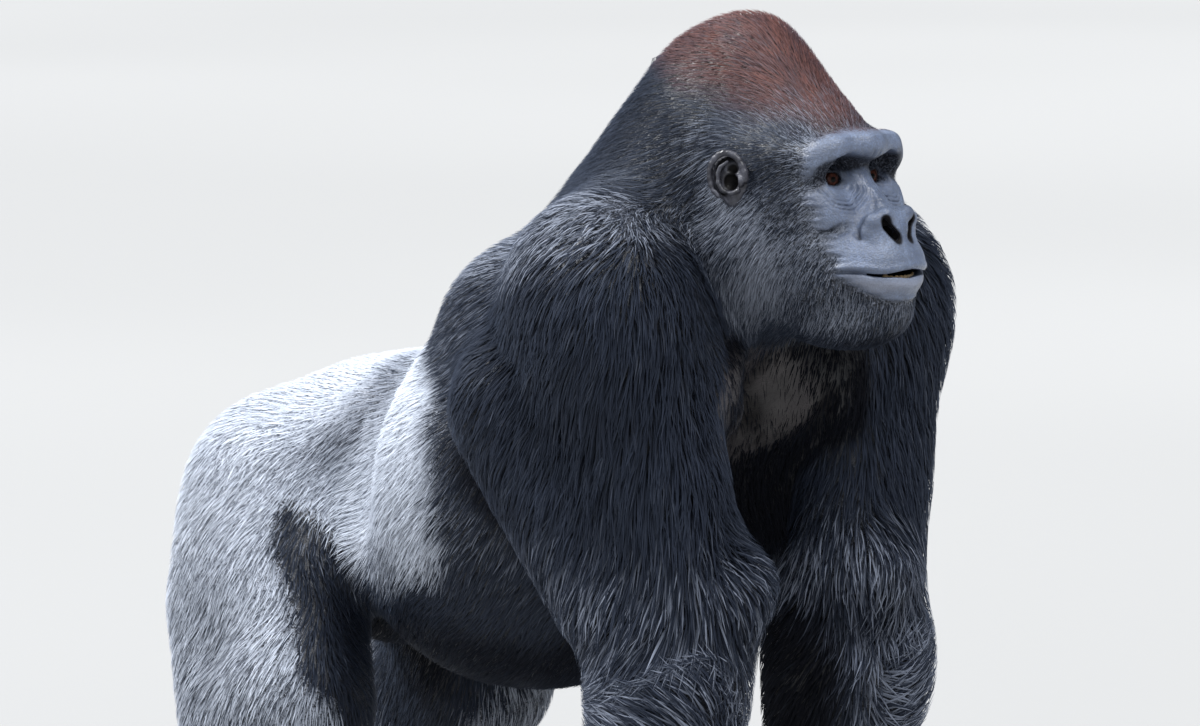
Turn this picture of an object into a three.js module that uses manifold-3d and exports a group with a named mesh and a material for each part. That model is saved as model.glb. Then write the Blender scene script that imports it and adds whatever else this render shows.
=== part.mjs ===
// An adult male lowland gorilla standing on all fours, life size, head turned almost straight ahead.
// The outer surface of the coat is one implicit solid: rounded cones and ellipsoids laid along the
// skeleton and blended into each other.  It is meshed once, thinned where it is smooth, and then cut
// by planes at the joints into the named parts of the body.
// Millimetres.  Inside this file a place is written [forward, left, up]; at the end the animal is
// stood with +Z up, its face towards -Y and its left side towards +X.
import * as THREE from "three";
import Module from "manifold-3d";

const wasm = await Module();
wasm.setup();
const { Manifold, Mesh } = wasm;

// ---- named places of the skeleton ------------------------------------------------------------
const EYE=[408,0,1005];
const SHOULDER_R=[235,-205,892];
const ELBOW_R=[305,-180,502];
const WRIST_R=[300,-262,150];
const SHOULDER_L=[235,200,892];
const ELBOW_L=[250,160,495];
const WRIST_L=[180,205,150];
const FINGERS=[[-36,0.9],[-12,1.0],[13,1.0],[37,0.86]];
const TOES=[[108,-26,62],[118,-6,66],[118,14,60],[108,33,52]];
const HIP_R=[-430,-112,640];
const KNEE_R=[-275,-222,355];
const ANKLE_R=[-430,-205,88];
const HIP_L=[-430,112,640];
const KNEE_L=[-385,185,340];
const ANKLE_L=[-540,187,88];
const CENTRE = [-64.08, -5.22]; // what is taken off forward and left so that the standing box is centred
const GAP = 0.3; // clearance between neighbouring parts
const SURFACE_FACES = 3900; // faces of the whole skin before it is cut
const GRID = 8; // spacing of the sampling grid

// ---- the implicit solid ----------------------------------------------------------------------
const RAD = Math.PI / 180;
// Turns in degrees: yaw to the left, pitch lifts the front, roll drops the right side.
function turnMatrix([yaw = 0, pitch = 0, roll = 0]) {
  const [y, p, r] = [yaw * RAD, pitch * RAD, roll * RAD];
  const z = [[Math.cos(y), -Math.sin(y), 0], [Math.sin(y), Math.cos(y), 0], [0, 0, 1]];
  const w = [[Math.cos(p), 0, -Math.sin(p)], [0, 1, 0], [Math.sin(p), 0, Math.cos(p)]];
  const x = [[1, 0, 0], [0, Math.cos(r), -Math.sin(r)], [0, Math.sin(r), Math.cos(r)]];
  return times(times(z, w), x);
}
function times(a, b) {
  return a.map((row) => [0, 1, 2].map((j) => row[0] * b[0][j] + row[1] * b[1][j] + row[2] * b[2][j]));
}
function toLocal(m, o, p) {
  const d = [p[0] - o[0], p[1] - o[1], p[2] - o[2]];
  return [0, 1, 2].map((j) => m[0][j] * d[0] + m[1][j] * d[1] + m[2][j] * d[2]);
}
function toWorld(m, o, p) {
  return [0, 1, 2].map((i) => o[i] + m[i][0] * p[0] + m[i][1] * p[1] + m[i][2] * p[2]);
}

const groups = {};
let current = null;
function group(name, origin = [0, 0, 0], turn = [0, 0, 0]) {
  current = { name, origin, turn: turnMatrix(turn), shapes: [] };
  groups[name] = current;
}
// An ellipsoid: centre, half axes, turn, width of the blend with what is already in the group.
function ell(name, centre, half, turn = [0, 0, 0], blend = 20, cut = false) {
  current.shapes.push({ kind: 0, name, centre, half, turn: turnMatrix(turn), blend, cut });
}
// A rounded cone from a to b with end radii ra and rb.
function con(name, a, b, ra, rb, blend = 20, cut = false) {
  const ba = [b[0] - a[0], b[1] - a[1], b[2] - a[2]];
  const l2 = ba[0] * ba[0] + ba[1] * ba[1] + ba[2] * ba[2];
  const rr = ra - rb;
  current.shapes.push({ kind: 1, name, a, b, ra, rb, ba, l2, rr, a2: l2 - rr * rr, il2: 1 / l2, blend, cut });
}
// The same on both sides of the body.
function ell2(name, c, half, turn = [0, 0, 0], blend = 20, cut = false) {
  for (const s of [-1, 1]) ell(name, [c[0], s * c[1], c[2]], half, [s * turn[0], turn[1], s * turn[2]], blend, cut);
}
function con2(name, a, b, ra, rb, blend = 20, cut = false) {
  for (const s of [-1, 1]) con(name, [a[0], s * a[1], a[2]], [b[0], s * b[1], b[2]], ra, rb, blend, cut);
}

// ---- the animal --------------------------------------------------------------------------------

group("trunk");
ell("belly",[-90,0,612],[240,228,240],[0,8,0],60);
ell("ribs",[-30,0,645],[300,238,195],[0,10,0],60);
ell("chest",[130,0,760],[185,215,205],[0,25,0],70);
ell("upper back",[120,0,845],[170,180,105],[0,28,0],60);
ell2("scapula",[55,115,826],[128,110,105],[0,30,0],60);
ell2("pectoral",[225,95,735],[85,105,120],[0,0,0],50);
ell("loin",[-280,0,660],[175,160,100],[0,3,0],60);
ell("pelvis",[-380,0,610],[140,155,132],[0,0,0],50);
ell2("back of the shoulder",[0,112,804],[112,106,108],[0,0,0],50);
ell("paunch",[-160,0,565],[155,180,176],[0,0,0],50);
ell("groin",[-345,0,505],[115,100,105],[0,0,0],50);
ell2("buttock",[-434,98,556],[110,98,128],[0,0,0],40);
ell("dip behind the shoulders",[-250,0,868],[130,280,98],[0,0,0],30,true);
con2("waist hollow",[-222,165,800],[-262,238,620],55,82,60,true);
con("breastbone hollow",[338,0,830],[302,0,660],74,64,36,true);
ell("below the breasts",[342,0,624],[126,160,88],[0,-10,0],40,true);

group("head",EYE,[3,0,0]);
con("nape",[-200,0,50],[-287,0,-78],108,128,50);
con2("trapezius",[-200,28,-10],[-255,160,-125],92,88,55);
ell("temples",[-140,0,15],[140,97,95],[0,0,0],40);
ell("crest",[-171,0,95],[95,52,84],[0,8,0],45);
con("forehead",[-40,0,28],[-146,0,128],46,44,45);
con2("jaw side",[-95,52,-75],[-15,38,-115],72,58,40);
ell2("cheek",[-75,62,-40],[80,43,85],[0,0,0],40);
ell("throat",[-90,0,-110],[130,85,72],[0,12,0],40);
con2("brow bar",[20,9,40],[9,44,36],15.5,15.5,18);
con2("brow corner",[9,44,36],[-7,64,19],15.5,17,12);
con2("brow end",[-8,60,30],[-50,72,26],15,24,24);
ell2("orbit side",[-22,61,0],[18,17,30],[0,0,0],16);
ell2("cheekbone",[-10,50,-34],[32,26,26],[0,0,0],22);
con("muzzle",[-20,0,-74],[28,0,-96],62,56,30);
con("nose bridge",[-7,0,2],[44,0,-46],15,18,18);
ell("nose tip",[56,0,-54],[17,19,14],[0,-20,0],12);
ell2("nose wing",[48,23,-60],[17,14,16],[25,0,0],8);
ell("upper lip",[40,0,-90],[45,50,23],[0,-6,0],14);
ell("lower lip",[38,0,-122],[44,46,18],[0,-4,0],8);
ell("chin",[26,0,-148],[48,43,32],[0,0,0],20);
ell("beard",[-8,0,-158],[66,58,38],[0,4,0],30);
ell2("eye hollow",[15,35,11],[22,19.5,22],[0,0,0],8,true);

function limb_arm(side,S,E,W) {
  const s = side === "right" ? -1 : 1;
  group("arm_"+side);
  ell("deltoid",[S[0]-15,S[1]+s*18,S[2]-45],[108,92,135],[0,12,s*4],40);
  con("upper arm",[S[0],S[1],S[2]-60],[E[0],E[1],E[2]+20],98,86,40);
  ell("triceps",[S[0]-35,S[1]-s*(-6),S[2]-205],[88,72,165],[0,15,0],45);
  con("armpit fold",[S[0]-130,S[1]-s*(-20),S[2]-157],[E[0]-60,E[1]+s*40,E[2]+30],92,76,40);
  con("elbow",[E[0]-12,E[1],E[2]+25],[E[0]-20,E[1]+s*8,E[2]-20],90,80,30);
  ell("forearm mass",[E[0]-2,E[1]+s*18,E[2]-85],[94,84,120],[0,0,0],35);
  con("forearm",[E[0],E[1]+s*12,E[2]-60],W,84,56,40);
  ell("elbow tuft",[E[0]+56,E[1]-s*26,E[2]+44],[62,56,56],[0,0,0],40);
  con("forearm inside",[E[0]-4,E[1]-17-17*s,E[2]-60],[W[0]+6,W[1]-24-24*s,W[2]+20],72,52,40);
}
for (const [side, S, E, W] of [["right",SHOULDER_R,ELBOW_R,WRIST_R],["left",SHOULDER_L,ELBOW_L,WRIST_L]]) {
  limb_arm(side,S,E,W);
}
function limb_leg(side,Hp,K,A) {
  const s = side === "right" ? -1 : 1;
  group("leg_"+side);
  con("thigh",[Hp[0]+10,Hp[1]+s*14,Hp[2]-50],K,115,80,40);
  ell("hamstring",[Hp[0]-6,Hp[1]+s*64,Hp[2]-185],[100,82,140],[0,0,0],55);
  con("shank",[K[0]-14,K[1],K[2]-5],A,80,50,50);
  ell("calf",[K[0]-108,K[1]+s*0,K[2]-42],[84,66,128],[0,24,0],50);
}
for (const [side, Hp, K, A] of [["right",HIP_R,KNEE_R,ANKLE_R],["left",HIP_L,KNEE_L,ANKLE_L]]) {
  limb_leg(side,Hp,K,A);
}
function limb_hand(side,W,yaw) {
  const s = side === "right" ? -1 : 1;
  group("hand_"+side,[W[0],W[1],0],[yaw,0,0]);
  con("wrist",[0,0,150],[4,0,120],50,44,20);
  ell("back of hand",[14,0,92],[32,50,52],[0,-14,0],18);
  for (const [across, l] of FINGERS) {
    const y = -s * across;
    con("finger root",[20,y,80],[40+6*l,y*1.02,46],19,18,8);
    con("finger mid",[40+6*l,y*1.02,46],[46+16*l,y*1.04,16],18,18,6);
    con("finger knuckle",[46+16*l,y*1.04,16],[14,y*1.0,14],18,16,6);
    con("finger end",[14,y*1.0,14],[-8,y*0.98,30],15,12,5);
  }
  con("thumb",[-6,-s*44,112],[26,-s*62,72],17,13,10);
}
for (const [side, W, yaw] of [["right",WRIST_R,18],["left",WRIST_L,-18]]) {
  limb_hand(side,W,yaw);
}
function limb_foot(side,A,yaw) {
  const s = side === "right" ? -1 : 1;
  group("foot_"+side,[A[0],A[1],0],[yaw,0,0]);
  ell("ankle",[0,0,84],[52,42,48],[0,0,0],16);
  ell("heel",[-40,0,36],[44,36,40],[0,0,0],16);
  con("sole",[-30,0,34],[110,s*4,30],38,34,22);
  ell("instep",[50,0,52],[72,40,34],[0,-16,0],20);
  for (const [x, y, l] of TOES) {
    con("toe",[x-18,s*y,28],[x+l,s*y*1.25,14],20,16,6);
  }
  con("big toe",[34,-s*34,30],[104,-s*66,18],24,20,10);
}
for (const [side, A, yaw] of [["right",ANKLE_R,-12],["left",ANKLE_L,12]]) {
  limb_foot(side,A,yaw);
}

// ---- distance to the coat's outer surface ------------------------------------------------------
function shapeDistance(s, x, y, z) {
  if (s.kind === 0) {
    const m = s.turn, h = s.half;
    const dx = x - s.centre[0], dy = y - s.centre[1], dz = z - s.centre[2];
    const a = (m[0][0] * dx + m[1][0] * dy + m[2][0] * dz) / h[0];
    const b = (m[0][1] * dx + m[1][1] * dy + m[2][1] * dz) / h[1];
    const c = (m[0][2] * dx + m[1][2] * dy + m[2][2] * dz) / h[2];
    const k0 = Math.sqrt(a * a + b * b + c * c);
    const k1 = Math.sqrt((a / h[0]) ** 2 + (b / h[1]) ** 2 + (c / h[2]) ** 2);
    return (k0 * (k0 - 1)) / Math.max(k1, 1e-9);
  }
  const px = x - s.a[0], py = y - s.a[1], pz = z - s.a[2];
  const along = px * s.ba[0] + py * s.ba[1] + pz * s.ba[2];
  const past = along - s.l2;
  const ex = px * s.l2 - along * s.ba[0], ey = py * s.l2 - along * s.ba[1], ez = pz * s.l2 - along * s.ba[2];
  const x2 = ex * ex + ey * ey + ez * ez, y2 = along * along * s.l2, z2 = past * past * s.l2;
  const k = Math.sign(s.rr) * s.rr * s.rr * x2;
  if (Math.sign(past) * s.a2 * z2 > k) return Math.sqrt(x2 + z2) * s.il2 - s.rb;
  if (Math.sign(along) * s.a2 * y2 < k) return Math.sqrt(x2 + y2) * s.il2 - s.ra;
  return (Math.sqrt(x2 * s.a2 * s.il2) + along * s.rr) * s.il2 - s.ra;
}
function blendIn(a, b, k) {
  const h = Math.max(k - Math.abs(a - b), 0) / k;
  return Math.min(a, b) - h * h * k * 0.25;
}
function cutOut(a, b, k) {
  const h = Math.max(k - Math.abs(a - b), 0) / k;
  return Math.max(a, b) + h * h * k * 0.25;
}
function groupDistance(g, f, l, u) {
  const m = g.turn, o = g.origin;
  const dx = f - o[0], dy = l - o[1], dz = u - o[2];
  const x = m[0][0] * dx + m[1][0] * dy + m[2][0] * dz;
  const y = m[0][1] * dx + m[1][1] * dy + m[2][1] * dz;
  const z = m[0][2] * dx + m[1][2] * dy + m[2][2] * dz;
  let d = 1000;
  for (const s of g.shapes) {
    const e = shapeDistance(s, x, y, z);
    d = s.cut ? cutOut(d, -e, s.blend) : blendIn(d, e, s.blend);
  }
  return d;
}
const step = (x, a, b) => {
  const t = Math.min(1, Math.max(0, (x - a) / (b - a)));
  return t * t * (3 - 2 * t);
};
// Limbs melt into the trunk near the joint and stay clear of it lower down.
function coat(f, l, u) {
  let d = blendIn(groupDistance(groups.trunk, f, l, u), groupDistance(groups.head, f, l, u), 60);
  const side = l < 0 ? ["right", "left"] : ["left", "right"];
  for (const s of side) {
    const arm = blendIn(groupDistance(groups["arm_" + s], f, l, u), groupDistance(groups["hand_" + s], f, l, u), 16);
    d = blendIn(d, arm, 8 + 62 * step(u, 690, 800));
    const leg = blendIn(groupDistance(groups["leg_" + s], f, l, u), groupDistance(groups["foot_" + s], f, l, u), 20);
    d = blendIn(d, leg, 8 + 52 * step(u, 400, 520));
  }
  return d;
}

// ---- meshing: one point in each grid cell that the surface crosses ------------------------------
function meshSurface(lo, hi, h) {
  const B = 8;
  const n = [0, 1, 2].map((i) => Math.ceil((hi[i] - lo[i]) / h / B) * B + 1);
  const D = new Float32Array(n[0] * n[1] * n[2]).fill(1000);
  const at = (i, j, k) => (i * n[1] + j) * n[2] + k;
  const reach = ((B * h * Math.sqrt(3)) / 2) * 1.25;
  for (let bi = 0; bi < n[0] - 1; bi += B)
    for (let bj = 0; bj < n[1] - 1; bj += B)
      for (let bk = 0; bk < n[2] - 1; bk += B) {
        const mid = coat(lo[0] + (bi + B / 2) * h, lo[1] + (bj + B / 2) * h, lo[2] + (bk + B / 2) * h);
        for (let i = bi; i <= bi + B; i++)
          for (let j = bj; j <= bj + B; j++)
            for (let k = bk; k <= bk + B; k++) {
              if (Math.abs(mid) < reach) D[at(i, j, k)] = coat(lo[0] + i * h, lo[1] + j * h, lo[2] + k * h);
              else if (mid < 0 && i < bi + B && j < bj + B && k < bk + B && D[at(i, j, k)] === 1000) D[at(i, j, k)] = -1000;
            }
      }
  // Where two sheets of the surface would share an edge, the gap between them is filled.
  const strides = [n[1] * n[2], n[2], 1];
  for (let again = true, pass = 0; again && pass < 8; pass++) {
    again = false;
    for (let i = 0; i < n[0] - 1; i++)
      for (let j = 0; j < n[1] - 1; j++)
        for (let k = 0; k < n[2] - 1; k++) {
          const o = at(i, j, k);
          for (const [p, q] of [[0, 1], [1, 2], [2, 0]]) {
            const c = [o, o + strides[p], o + strides[p] + strides[q], o + strides[q]];
            const s = c.map((x) => D[x] < 0);
            if (s[0] !== s[2] || s[1] !== s[3] || s[0] === s[1]) continue;
            const [x, y] = s[0] ? [c[1], c[3]] : [c[0], c[2]];
            D[D[x] < D[y] ? x : y] = -0.02 * h;
            again = true;
          }
        }
  }
  const cell = new Int32Array(D.length).fill(-1);
  const verts = [];
  for (let i = 0; i < n[0] - 1; i++)
    for (let j = 0; j < n[1] - 1; j++)
      for (let k = 0; k < n[2] - 1; k++) {
        let inside = 0;
        for (let c = 0; c < 8; c++) if (D[at(i + (c & 1), j + ((c >> 1) & 1), k + (c >> 2))] < 0) inside++;
        if (inside === 0 || inside === 8) continue;
        let sx = 0, sy = 0, sz = 0, count = 0;
        for (let c = 0; c < 8; c++)
          for (const bit of [1, 2, 4]) {
            if (c & bit) continue;
            const e = c | bit;
            const a = D[at(i + (c & 1), j + ((c >> 1) & 1), k + (c >> 2))];
            const b = D[at(i + (e & 1), j + ((e >> 1) & 1), k + (e >> 2))];
            if (a < 0 === b < 0) continue;
            const t = Math.min(0.98, Math.max(0.02, a / (a - b)));
            sx += (c & 1) + (bit === 1 ? t : 0);
            sy += ((c >> 1) & 1) + (bit === 2 ? t : 0);
            sz += (c >> 2) + (bit === 4 ? t : 0);
            count++;
          }
        cell[at(i, j, k)] = verts.length / 3;
        verts.push(lo[0] + (i + sx / count) * h, lo[1] + (j + sy / count) * h, lo[2] + (k + sz / count) * h);
      }
  const tris = [];
  const quad = (a, b, c, d, turned) => {
    if (turned) [b, d] = [d, b];
    tris.push(a, b, c, a, c, d);
  };
  for (let i = 1; i < n[0] - 1; i++)
    for (let j = 1; j < n[1] - 1; j++)
      for (let k = 1; k < n[2] - 1; k++) {
        const here = D[at(i, j, k)] < 0;
        if (here !== D[at(i + 1, j, k)] < 0) quad(cell[at(i, j - 1, k - 1)], cell[at(i, j, k - 1)], cell[at(i, j, k)], cell[at(i, j - 1, k)], !here);
        if (here !== D[at(i, j + 1, k)] < 0) quad(cell[at(i - 1, j, k - 1)], cell[at(i - 1, j, k)], cell[at(i, j, k)], cell[at(i, j, k - 1)], !here);
        if (here !== D[at(i, j, k + 1)] < 0) quad(cell[at(i - 1, j - 1, k)], cell[at(i, j - 1, k)], cell[at(i, j, k)], cell[at(i - 1, j, k)], !here);
      }
  return { verts: Float64Array.from(verts), tris: Int32Array.from(tris) };
}

// ---- thinning: edges are folded up where that moves the surface least ---------------------------
function thin({ verts, tris }, goal, weight) {
  const nv = verts.length / 3, nt = tris.length / 3;
  const Q = new Float64Array(nv * 10), around = Array.from({ length: nv }, () => []);
  const dead = new Uint8Array(nt), stamp = new Int32Array(nv);
  const normal = (a, b, c) => {
    const ux = verts[3 * b] - verts[3 * a], uy = verts[3 * b + 1] - verts[3 * a + 1], uz = verts[3 * b + 2] - verts[3 * a + 2];
    const vx = verts[3 * c] - verts[3 * a], vy = verts[3 * c + 1] - verts[3 * a + 1], vz = verts[3 * c + 2] - verts[3 * a + 2];
    return [uy * vz - uz * vy, uz * vx - ux * vz, ux * vy - uy * vx];
  };
  for (let t = 0; t < nt; t++) {
    const v = [tris[3 * t], tris[3 * t + 1], tris[3 * t + 2]];
    let [x, y, z] = normal(...v);
    const len = Math.hypot(x, y, z) || 1;
    (x /= len), (y /= len), (z /= len);
    const d = -(x * verts[3 * v[0]] + y * verts[3 * v[0] + 1] + z * verts[3 * v[0] + 2]);
    for (const i of v) {
      const w = (len / 6) * weight(verts[3 * i], verts[3 * i + 1], verts[3 * i + 2]), q = 10 * i;
      Q[q] += w * x * x, Q[q + 1] += w * x * y, Q[q + 2] += w * x * z, Q[q + 3] += w * x * d, Q[q + 4] += w * y * y;
      Q[q + 5] += w * y * z, Q[q + 6] += w * y * d, Q[q + 7] += w * z * z, Q[q + 8] += w * z * d, Q[q + 9] += w * d * d;
      around[i].push(t);
    }
  }
  const heap = [];
  const push = (e) => {
    let i = heap.length;
    heap.push(e);
    while (i && heap[(i - 1) >> 1].cost > e.cost) (heap[i] = heap[(i - 1) >> 1]), (i = (i - 1) >> 1);
    heap[i] = e;
  };
  const pop = () => {
    const top = heap[0], e = heap.pop();
    if (!heap.length) return top;
    let i = 0;
    for (;;) {
      let c = 2 * i + 1;
      if (c >= heap.length) break;
      if (c + 1 < heap.length && heap[c + 1].cost < heap[c].cost) c++;
      if (heap[c].cost >= e.cost) break;
      heap[i] = heap[c];
      i = c;
    }
    heap[i] = e;
    return top;
  };
  const offer = (a, b) => {
    const q = new Float64Array(10);
    for (let i = 0; i < 10; i++) q[i] = Q[10 * a + i] + Q[10 * b + i];
    const error = (x, y, z) =>
      q[0] * x * x + 2 * q[1] * x * y + 2 * q[2] * x * z + 2 * q[3] * x + q[4] * y * y + 2 * q[5] * y * z + 2 * q[6] * y + q[7] * z * z + 2 * q[8] * z + q[9];
    const A = [verts[3 * a], verts[3 * a + 1], verts[3 * a + 2]], B = [verts[3 * b], verts[3 * b + 1], verts[3 * b + 2]];
    const M = A.map((v, i) => (v + B[i]) / 2);
    const span = Math.hypot(A[0] - B[0], A[1] - B[1], A[2] - B[2]);
    let best = M, cost = error(...M);
    for (const p of [A, B]) if (error(...p) < cost) (best = p), (cost = error(...p));
    const c00 = q[4] * q[7] - q[5] * q[5], c01 = q[2] * q[5] - q[1] * q[7], c02 = q[1] * q[5] - q[2] * q[4];
    const det = q[0] * c00 + q[1] * c01 + q[2] * c02;
    const size = (q[0] + q[4] + q[7]) / 3;
    if (Math.abs(det) > 1e-4 * size * size * size) {
      const c11 = q[0] * q[7] - q[2] * q[2], c12 = q[1] * q[2] - q[0] * q[5], c22 = q[0] * q[4] - q[1] * q[1];
      const p = [
        -(c00 * q[3] + c01 * q[6] + c02 * q[8]) / det,
        -(c01 * q[3] + c11 * q[6] + c12 * q[8]) / det,
        -(c02 * q[3] + c12 * q[6] + c22 * q[8]) / det,
      ];
      if (Math.hypot(p[0] - M[0], p[1] - M[1], p[2] - M[2]) < span && error(...p) < cost) (best = p), (cost = error(...p));
    }
    push({ cost: Math.max(cost, 0) + 1e-4 * size * span * span, a, b, at: best, sa: stamp[a], sb: stamp[b] });
  };
  for (let t = 0; t < nt; t++)
    for (let i = 0; i < 3; i++) {
      const a = tris[3 * t + i], b = tris[3 * t + ((i + 1) % 3)];
      if (a < b) offer(a, b);
    }
  const ring = (v) => {
    const s = new Set();
    for (const t of around[v]) for (let i = 0; i < 3; i++) if (tris[3 * t + i] !== v) s.add(tris[3 * t + i]);
    return s;
  };
  let faces = nt;
  while (faces > goal && heap.length) {
    const { a, b, at, sa, sb } = pop();
    if (stamp[a] !== sa || stamp[b] !== sb) continue;
    const ra = ring(a), rb = ring(b);
    let shared = 0;
    for (const v of ra) if (rb.has(v)) shared++;
    if (shared !== 2) continue;
    let turned = false;
    for (const [v, other] of [[a, b], [b, a]]) {
      const keep = [verts[3 * v], verts[3 * v + 1], verts[3 * v + 2]];
      for (const t of around[v]) {
        const c = [tris[3 * t], tris[3 * t + 1], tris[3 * t + 2]];
        if (c.includes(other)) continue;
        const before = normal(...c);
        (verts[3 * v] = at[0]), (verts[3 * v + 1] = at[1]), (verts[3 * v + 2] = at[2]);
        const after = normal(...c);
        (verts[3 * v] = keep[0]), (verts[3 * v + 1] = keep[1]), (verts[3 * v + 2] = keep[2]);
        const la = Math.hypot(...after), lb = Math.hypot(...before);
        if (before[0] * after[0] + before[1] * after[1] + before[2] * after[2] < 0.3 * la * lb || la < 1e-6) turned = true;
      }
    }
    if (turned) continue;
    (verts[3 * a] = at[0]), (verts[3 * a + 1] = at[1]), (verts[3 * a + 2] = at[2]);
    for (let i = 0; i < 10; i++) Q[10 * a + i] += Q[10 * b + i];
    for (const t of around[b]) {
      if (tris[3 * t] === a || tris[3 * t + 1] === a || tris[3 * t + 2] === a) {
        dead[t] = 1;
        faces--;
        for (let i = 0; i < 3; i++) if (tris[3 * t + i] !== b) around[tris[3 * t + i]] = around[tris[3 * t + i]].filter((x) => x !== t);
      } else {
        for (let i = 0; i < 3; i++) if (tris[3 * t + i] === b) tris[3 * t + i] = a;
        around[a].push(t);
      }
    }
    around[b] = [];
    stamp[a]++;
    stamp[b] = -1;
    for (const v of ring(a)) offer(Math.min(a, v), Math.max(a, v));
  }
  const map = new Map(), outV = [], outT = [];
  for (let t = 0; t < nt; t++) {
    if (dead[t]) continue;
    for (let i = 0; i < 3; i++) {
      const v = tris[3 * t + i];
      if (!map.has(v)) {
        map.set(v, outV.length / 3);
        outV.push(verts[3 * v], verts[3 * v + 1], verts[3 * v + 2]);
      }
      outT.push(map.get(v));
    }
  }
  return { verts: outV, tris: outT };
}

// ---- solids ---------------------------------------------------------------------------------------
// Places go from [forward, left, up] to X = left, Y = -forward, Z = up, centred over the feet.
const stand = ([f, l, u]) => [l - CENTRE[1], -(f - CENTRE[0]), u];
function solid(verts, tris) {
  const v = new Float32Array(verts.length);
  for (let i = 0; i < verts.length; i += 3) v.set(stand([verts[i], verts[i + 1], verts[i + 2]]), i);
  return new Manifold(new Mesh({ numProp: 3, vertProperties: v, triVerts: Uint32Array.from(tris) }));
}
// The half of space on the side of a plane that its normal points to, as a very large block.
function half(point, normal) {
  const [px, py, pz] = stand(point);
  const n = new THREE.Vector3(normal[1], -normal[0], normal[2]).normalize();
  const g = new THREE.BoxGeometry(6000, 6000, 3000).translate(0, 0, 1500);
  g.applyQuaternion(new THREE.Quaternion().setFromUnitVectors(new THREE.Vector3(0, 0, 1), n)).translate(px, py, pz);
  const p = g.getAttribute("position"), corner = new Map(), verts = [], tris = [];
  for (let i = 0; i < g.index.count; i++) {
    const j = g.index.getX(i), key = [p.getX(j), p.getY(j), p.getZ(j)].map((x) => x.toFixed(1)).join();
    if (!corner.has(key)) {
      corner.set(key, verts.length / 3);
      verts.push(p.getX(j), p.getY(j), p.getZ(j));
    }
    tris.push(corner.get(key));
  }
  return new Manifold(new Mesh({ numProp: 3, vertProperties: Float32Array.from(verts), triVerts: Uint32Array.from(tris) }));
}
function unit(n) {
  const l = Math.hypot(...n);
  return n.map((x) => x / l);
}
// A closed ellipsoid, or the same grown by `grow` all round.
function ball(centre, halfAxes, matrix, across, rings, grow = 0) {
  const verts = [], tris = [];
  const put = (x, y, z) => verts.push(...toWorld(matrix, centre, [x * (halfAxes[0] + grow), y * (halfAxes[1] + grow), z * (halfAxes[2] + grow)]));
  put(0, 0, -1);
  for (let r = 1; r < rings; r++)
    for (let a = 0; a < across; a++) {
      const e = -Math.PI / 2 + (Math.PI * r) / rings, t = (2 * Math.PI * a) / across;
      put(Math.cos(e) * Math.cos(t), Math.cos(e) * Math.sin(t), Math.sin(e));
    }
  put(0, 0, 1);
  const top = verts.length / 3 - 1;
  for (let a = 0; a < across; a++) {
    const b = (a + 1) % across;
    tris.push(0, 1 + b, 1 + a, top, top - across + a, top - across + b);
    for (let r = 0; r < rings - 2; r++) {
      const p = 1 + r * across;
      tris.push(p + a, p + b, p + across + a, p + b, p + across + b, p + across + a);
    }
  }
  return solid(verts, tris);
}

const surface = meshSurface([-640, -340, -28], [520, 340, 1220], GRID);
const detail = (f, l, u) => {
  const head = toLocal(groups.head.turn, EYE, [f, l, u]);
  if (head[0] > -45 && head[2] > -190) return 14; // the face
  if (head[0] > -240 && head[2] > -170 && Math.abs(head[1]) < 115) return 3; // the rest of the head
  if (u < 150) return 5; // hands and feet
  return 1;
};
const fine = thin(surface, SURFACE_FACES, detail);
let rest = solid(fine.verts, fine.tris).intersect(half([0, 0, 0], [0, 0, 1]));

// ---- cutting at the joints ------------------------------------------------------------------------
const parts = {};
// Takes from the body what lies on the far side of every plane, leaving the gap between.
function take(name, planes) {
  let inner = rest, outer = null;
  for (const [point, n] of planes) {
    const d = unit(n), shift = (k) => point.map((x, i) => x + d[i] * k);
    inner = inner.intersect(half(shift(GAP / 2), d));
    const h = half(shift(-GAP / 2), d);
    outer = outer ? outer.intersect(h) : h;
  }
  rest = rest.subtract(outer);
  parts[name] = inner;
}
const inHead = (p) => toWorld(groups.head.turn, EYE, p);
const headTurn = groups.head.turn;
take("head", [[inHead([-262, 0, 90]), [0.834, 0, 0.552]], [[300, -131, 950], [0, 1, 0.25]], [[300, 131, 950], [0, -1, 0.25]], [[300, 0, 700], [0, 0, 1]]]);
for (const [side, s, W, A] of [["right", -1, WRIST_R, ANKLE_R], ["left", 1, WRIST_L, ANKLE_L]]) {
  const E = side === "right" ? ELBOW_R : ELBOW_L, K = side === "right" ? KNEE_R : KNEE_L;
  const own = [[0, 0, 0], [0, s, 0]];
  take("hand_" + side, [[[0, 0, W[2] - 8], [0, 0, -1]], [[50, 0, 0], [1, 0, 0]], own]);
  take("foot_" + side, [[[A[0], 0, A[2] + 12], [-0.2, 0, -1]], [[-150, 0, 0], [-1, 0, 0]], own]);
  take("forearm_" + side, [[[0, 0, E[2] - 6], [0, 0, -1]], [[165, s * 60, 490], [1, s * 0.5, -0.2]], [[0, s * 45, 0], [0, s, 0]]]);
  take("lower_leg_" + side, [[[0, 0, K[2] - 2], [0, 0, -1]], [[-140, 0, 0], [-1, 0, 0]], own]);
  take("upper_arm_" + side, [[[300, s * (side === "right" ? 88 : 72), 800], [0.433, s * 0.901, -0.08]], [[100, 0, 300], [0, 0, 1]]]);
  take("thigh_" + side, [[[-400, s * 100, 505], [0.25, s * 0.45, -0.86]], [[-190, s * 116, 400], [-0.3, s * 0.95, 0]], [[-168, 0, 0], [-1, 0, 0]], own]);
}
take("neck", [[[-20, 0, 925], [0.379, 0, 0.926]], [[150, -122, 850], [0, 1, 0.2]], [[150, 122, 850], [0, -1, 0.2]]]);
take("chest", [[[40, 0, 600], [1, 0, 0.15]]]);
take("pelvis", [[[-265, 0, 600], [-1, 0, 0.1]]]);
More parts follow.
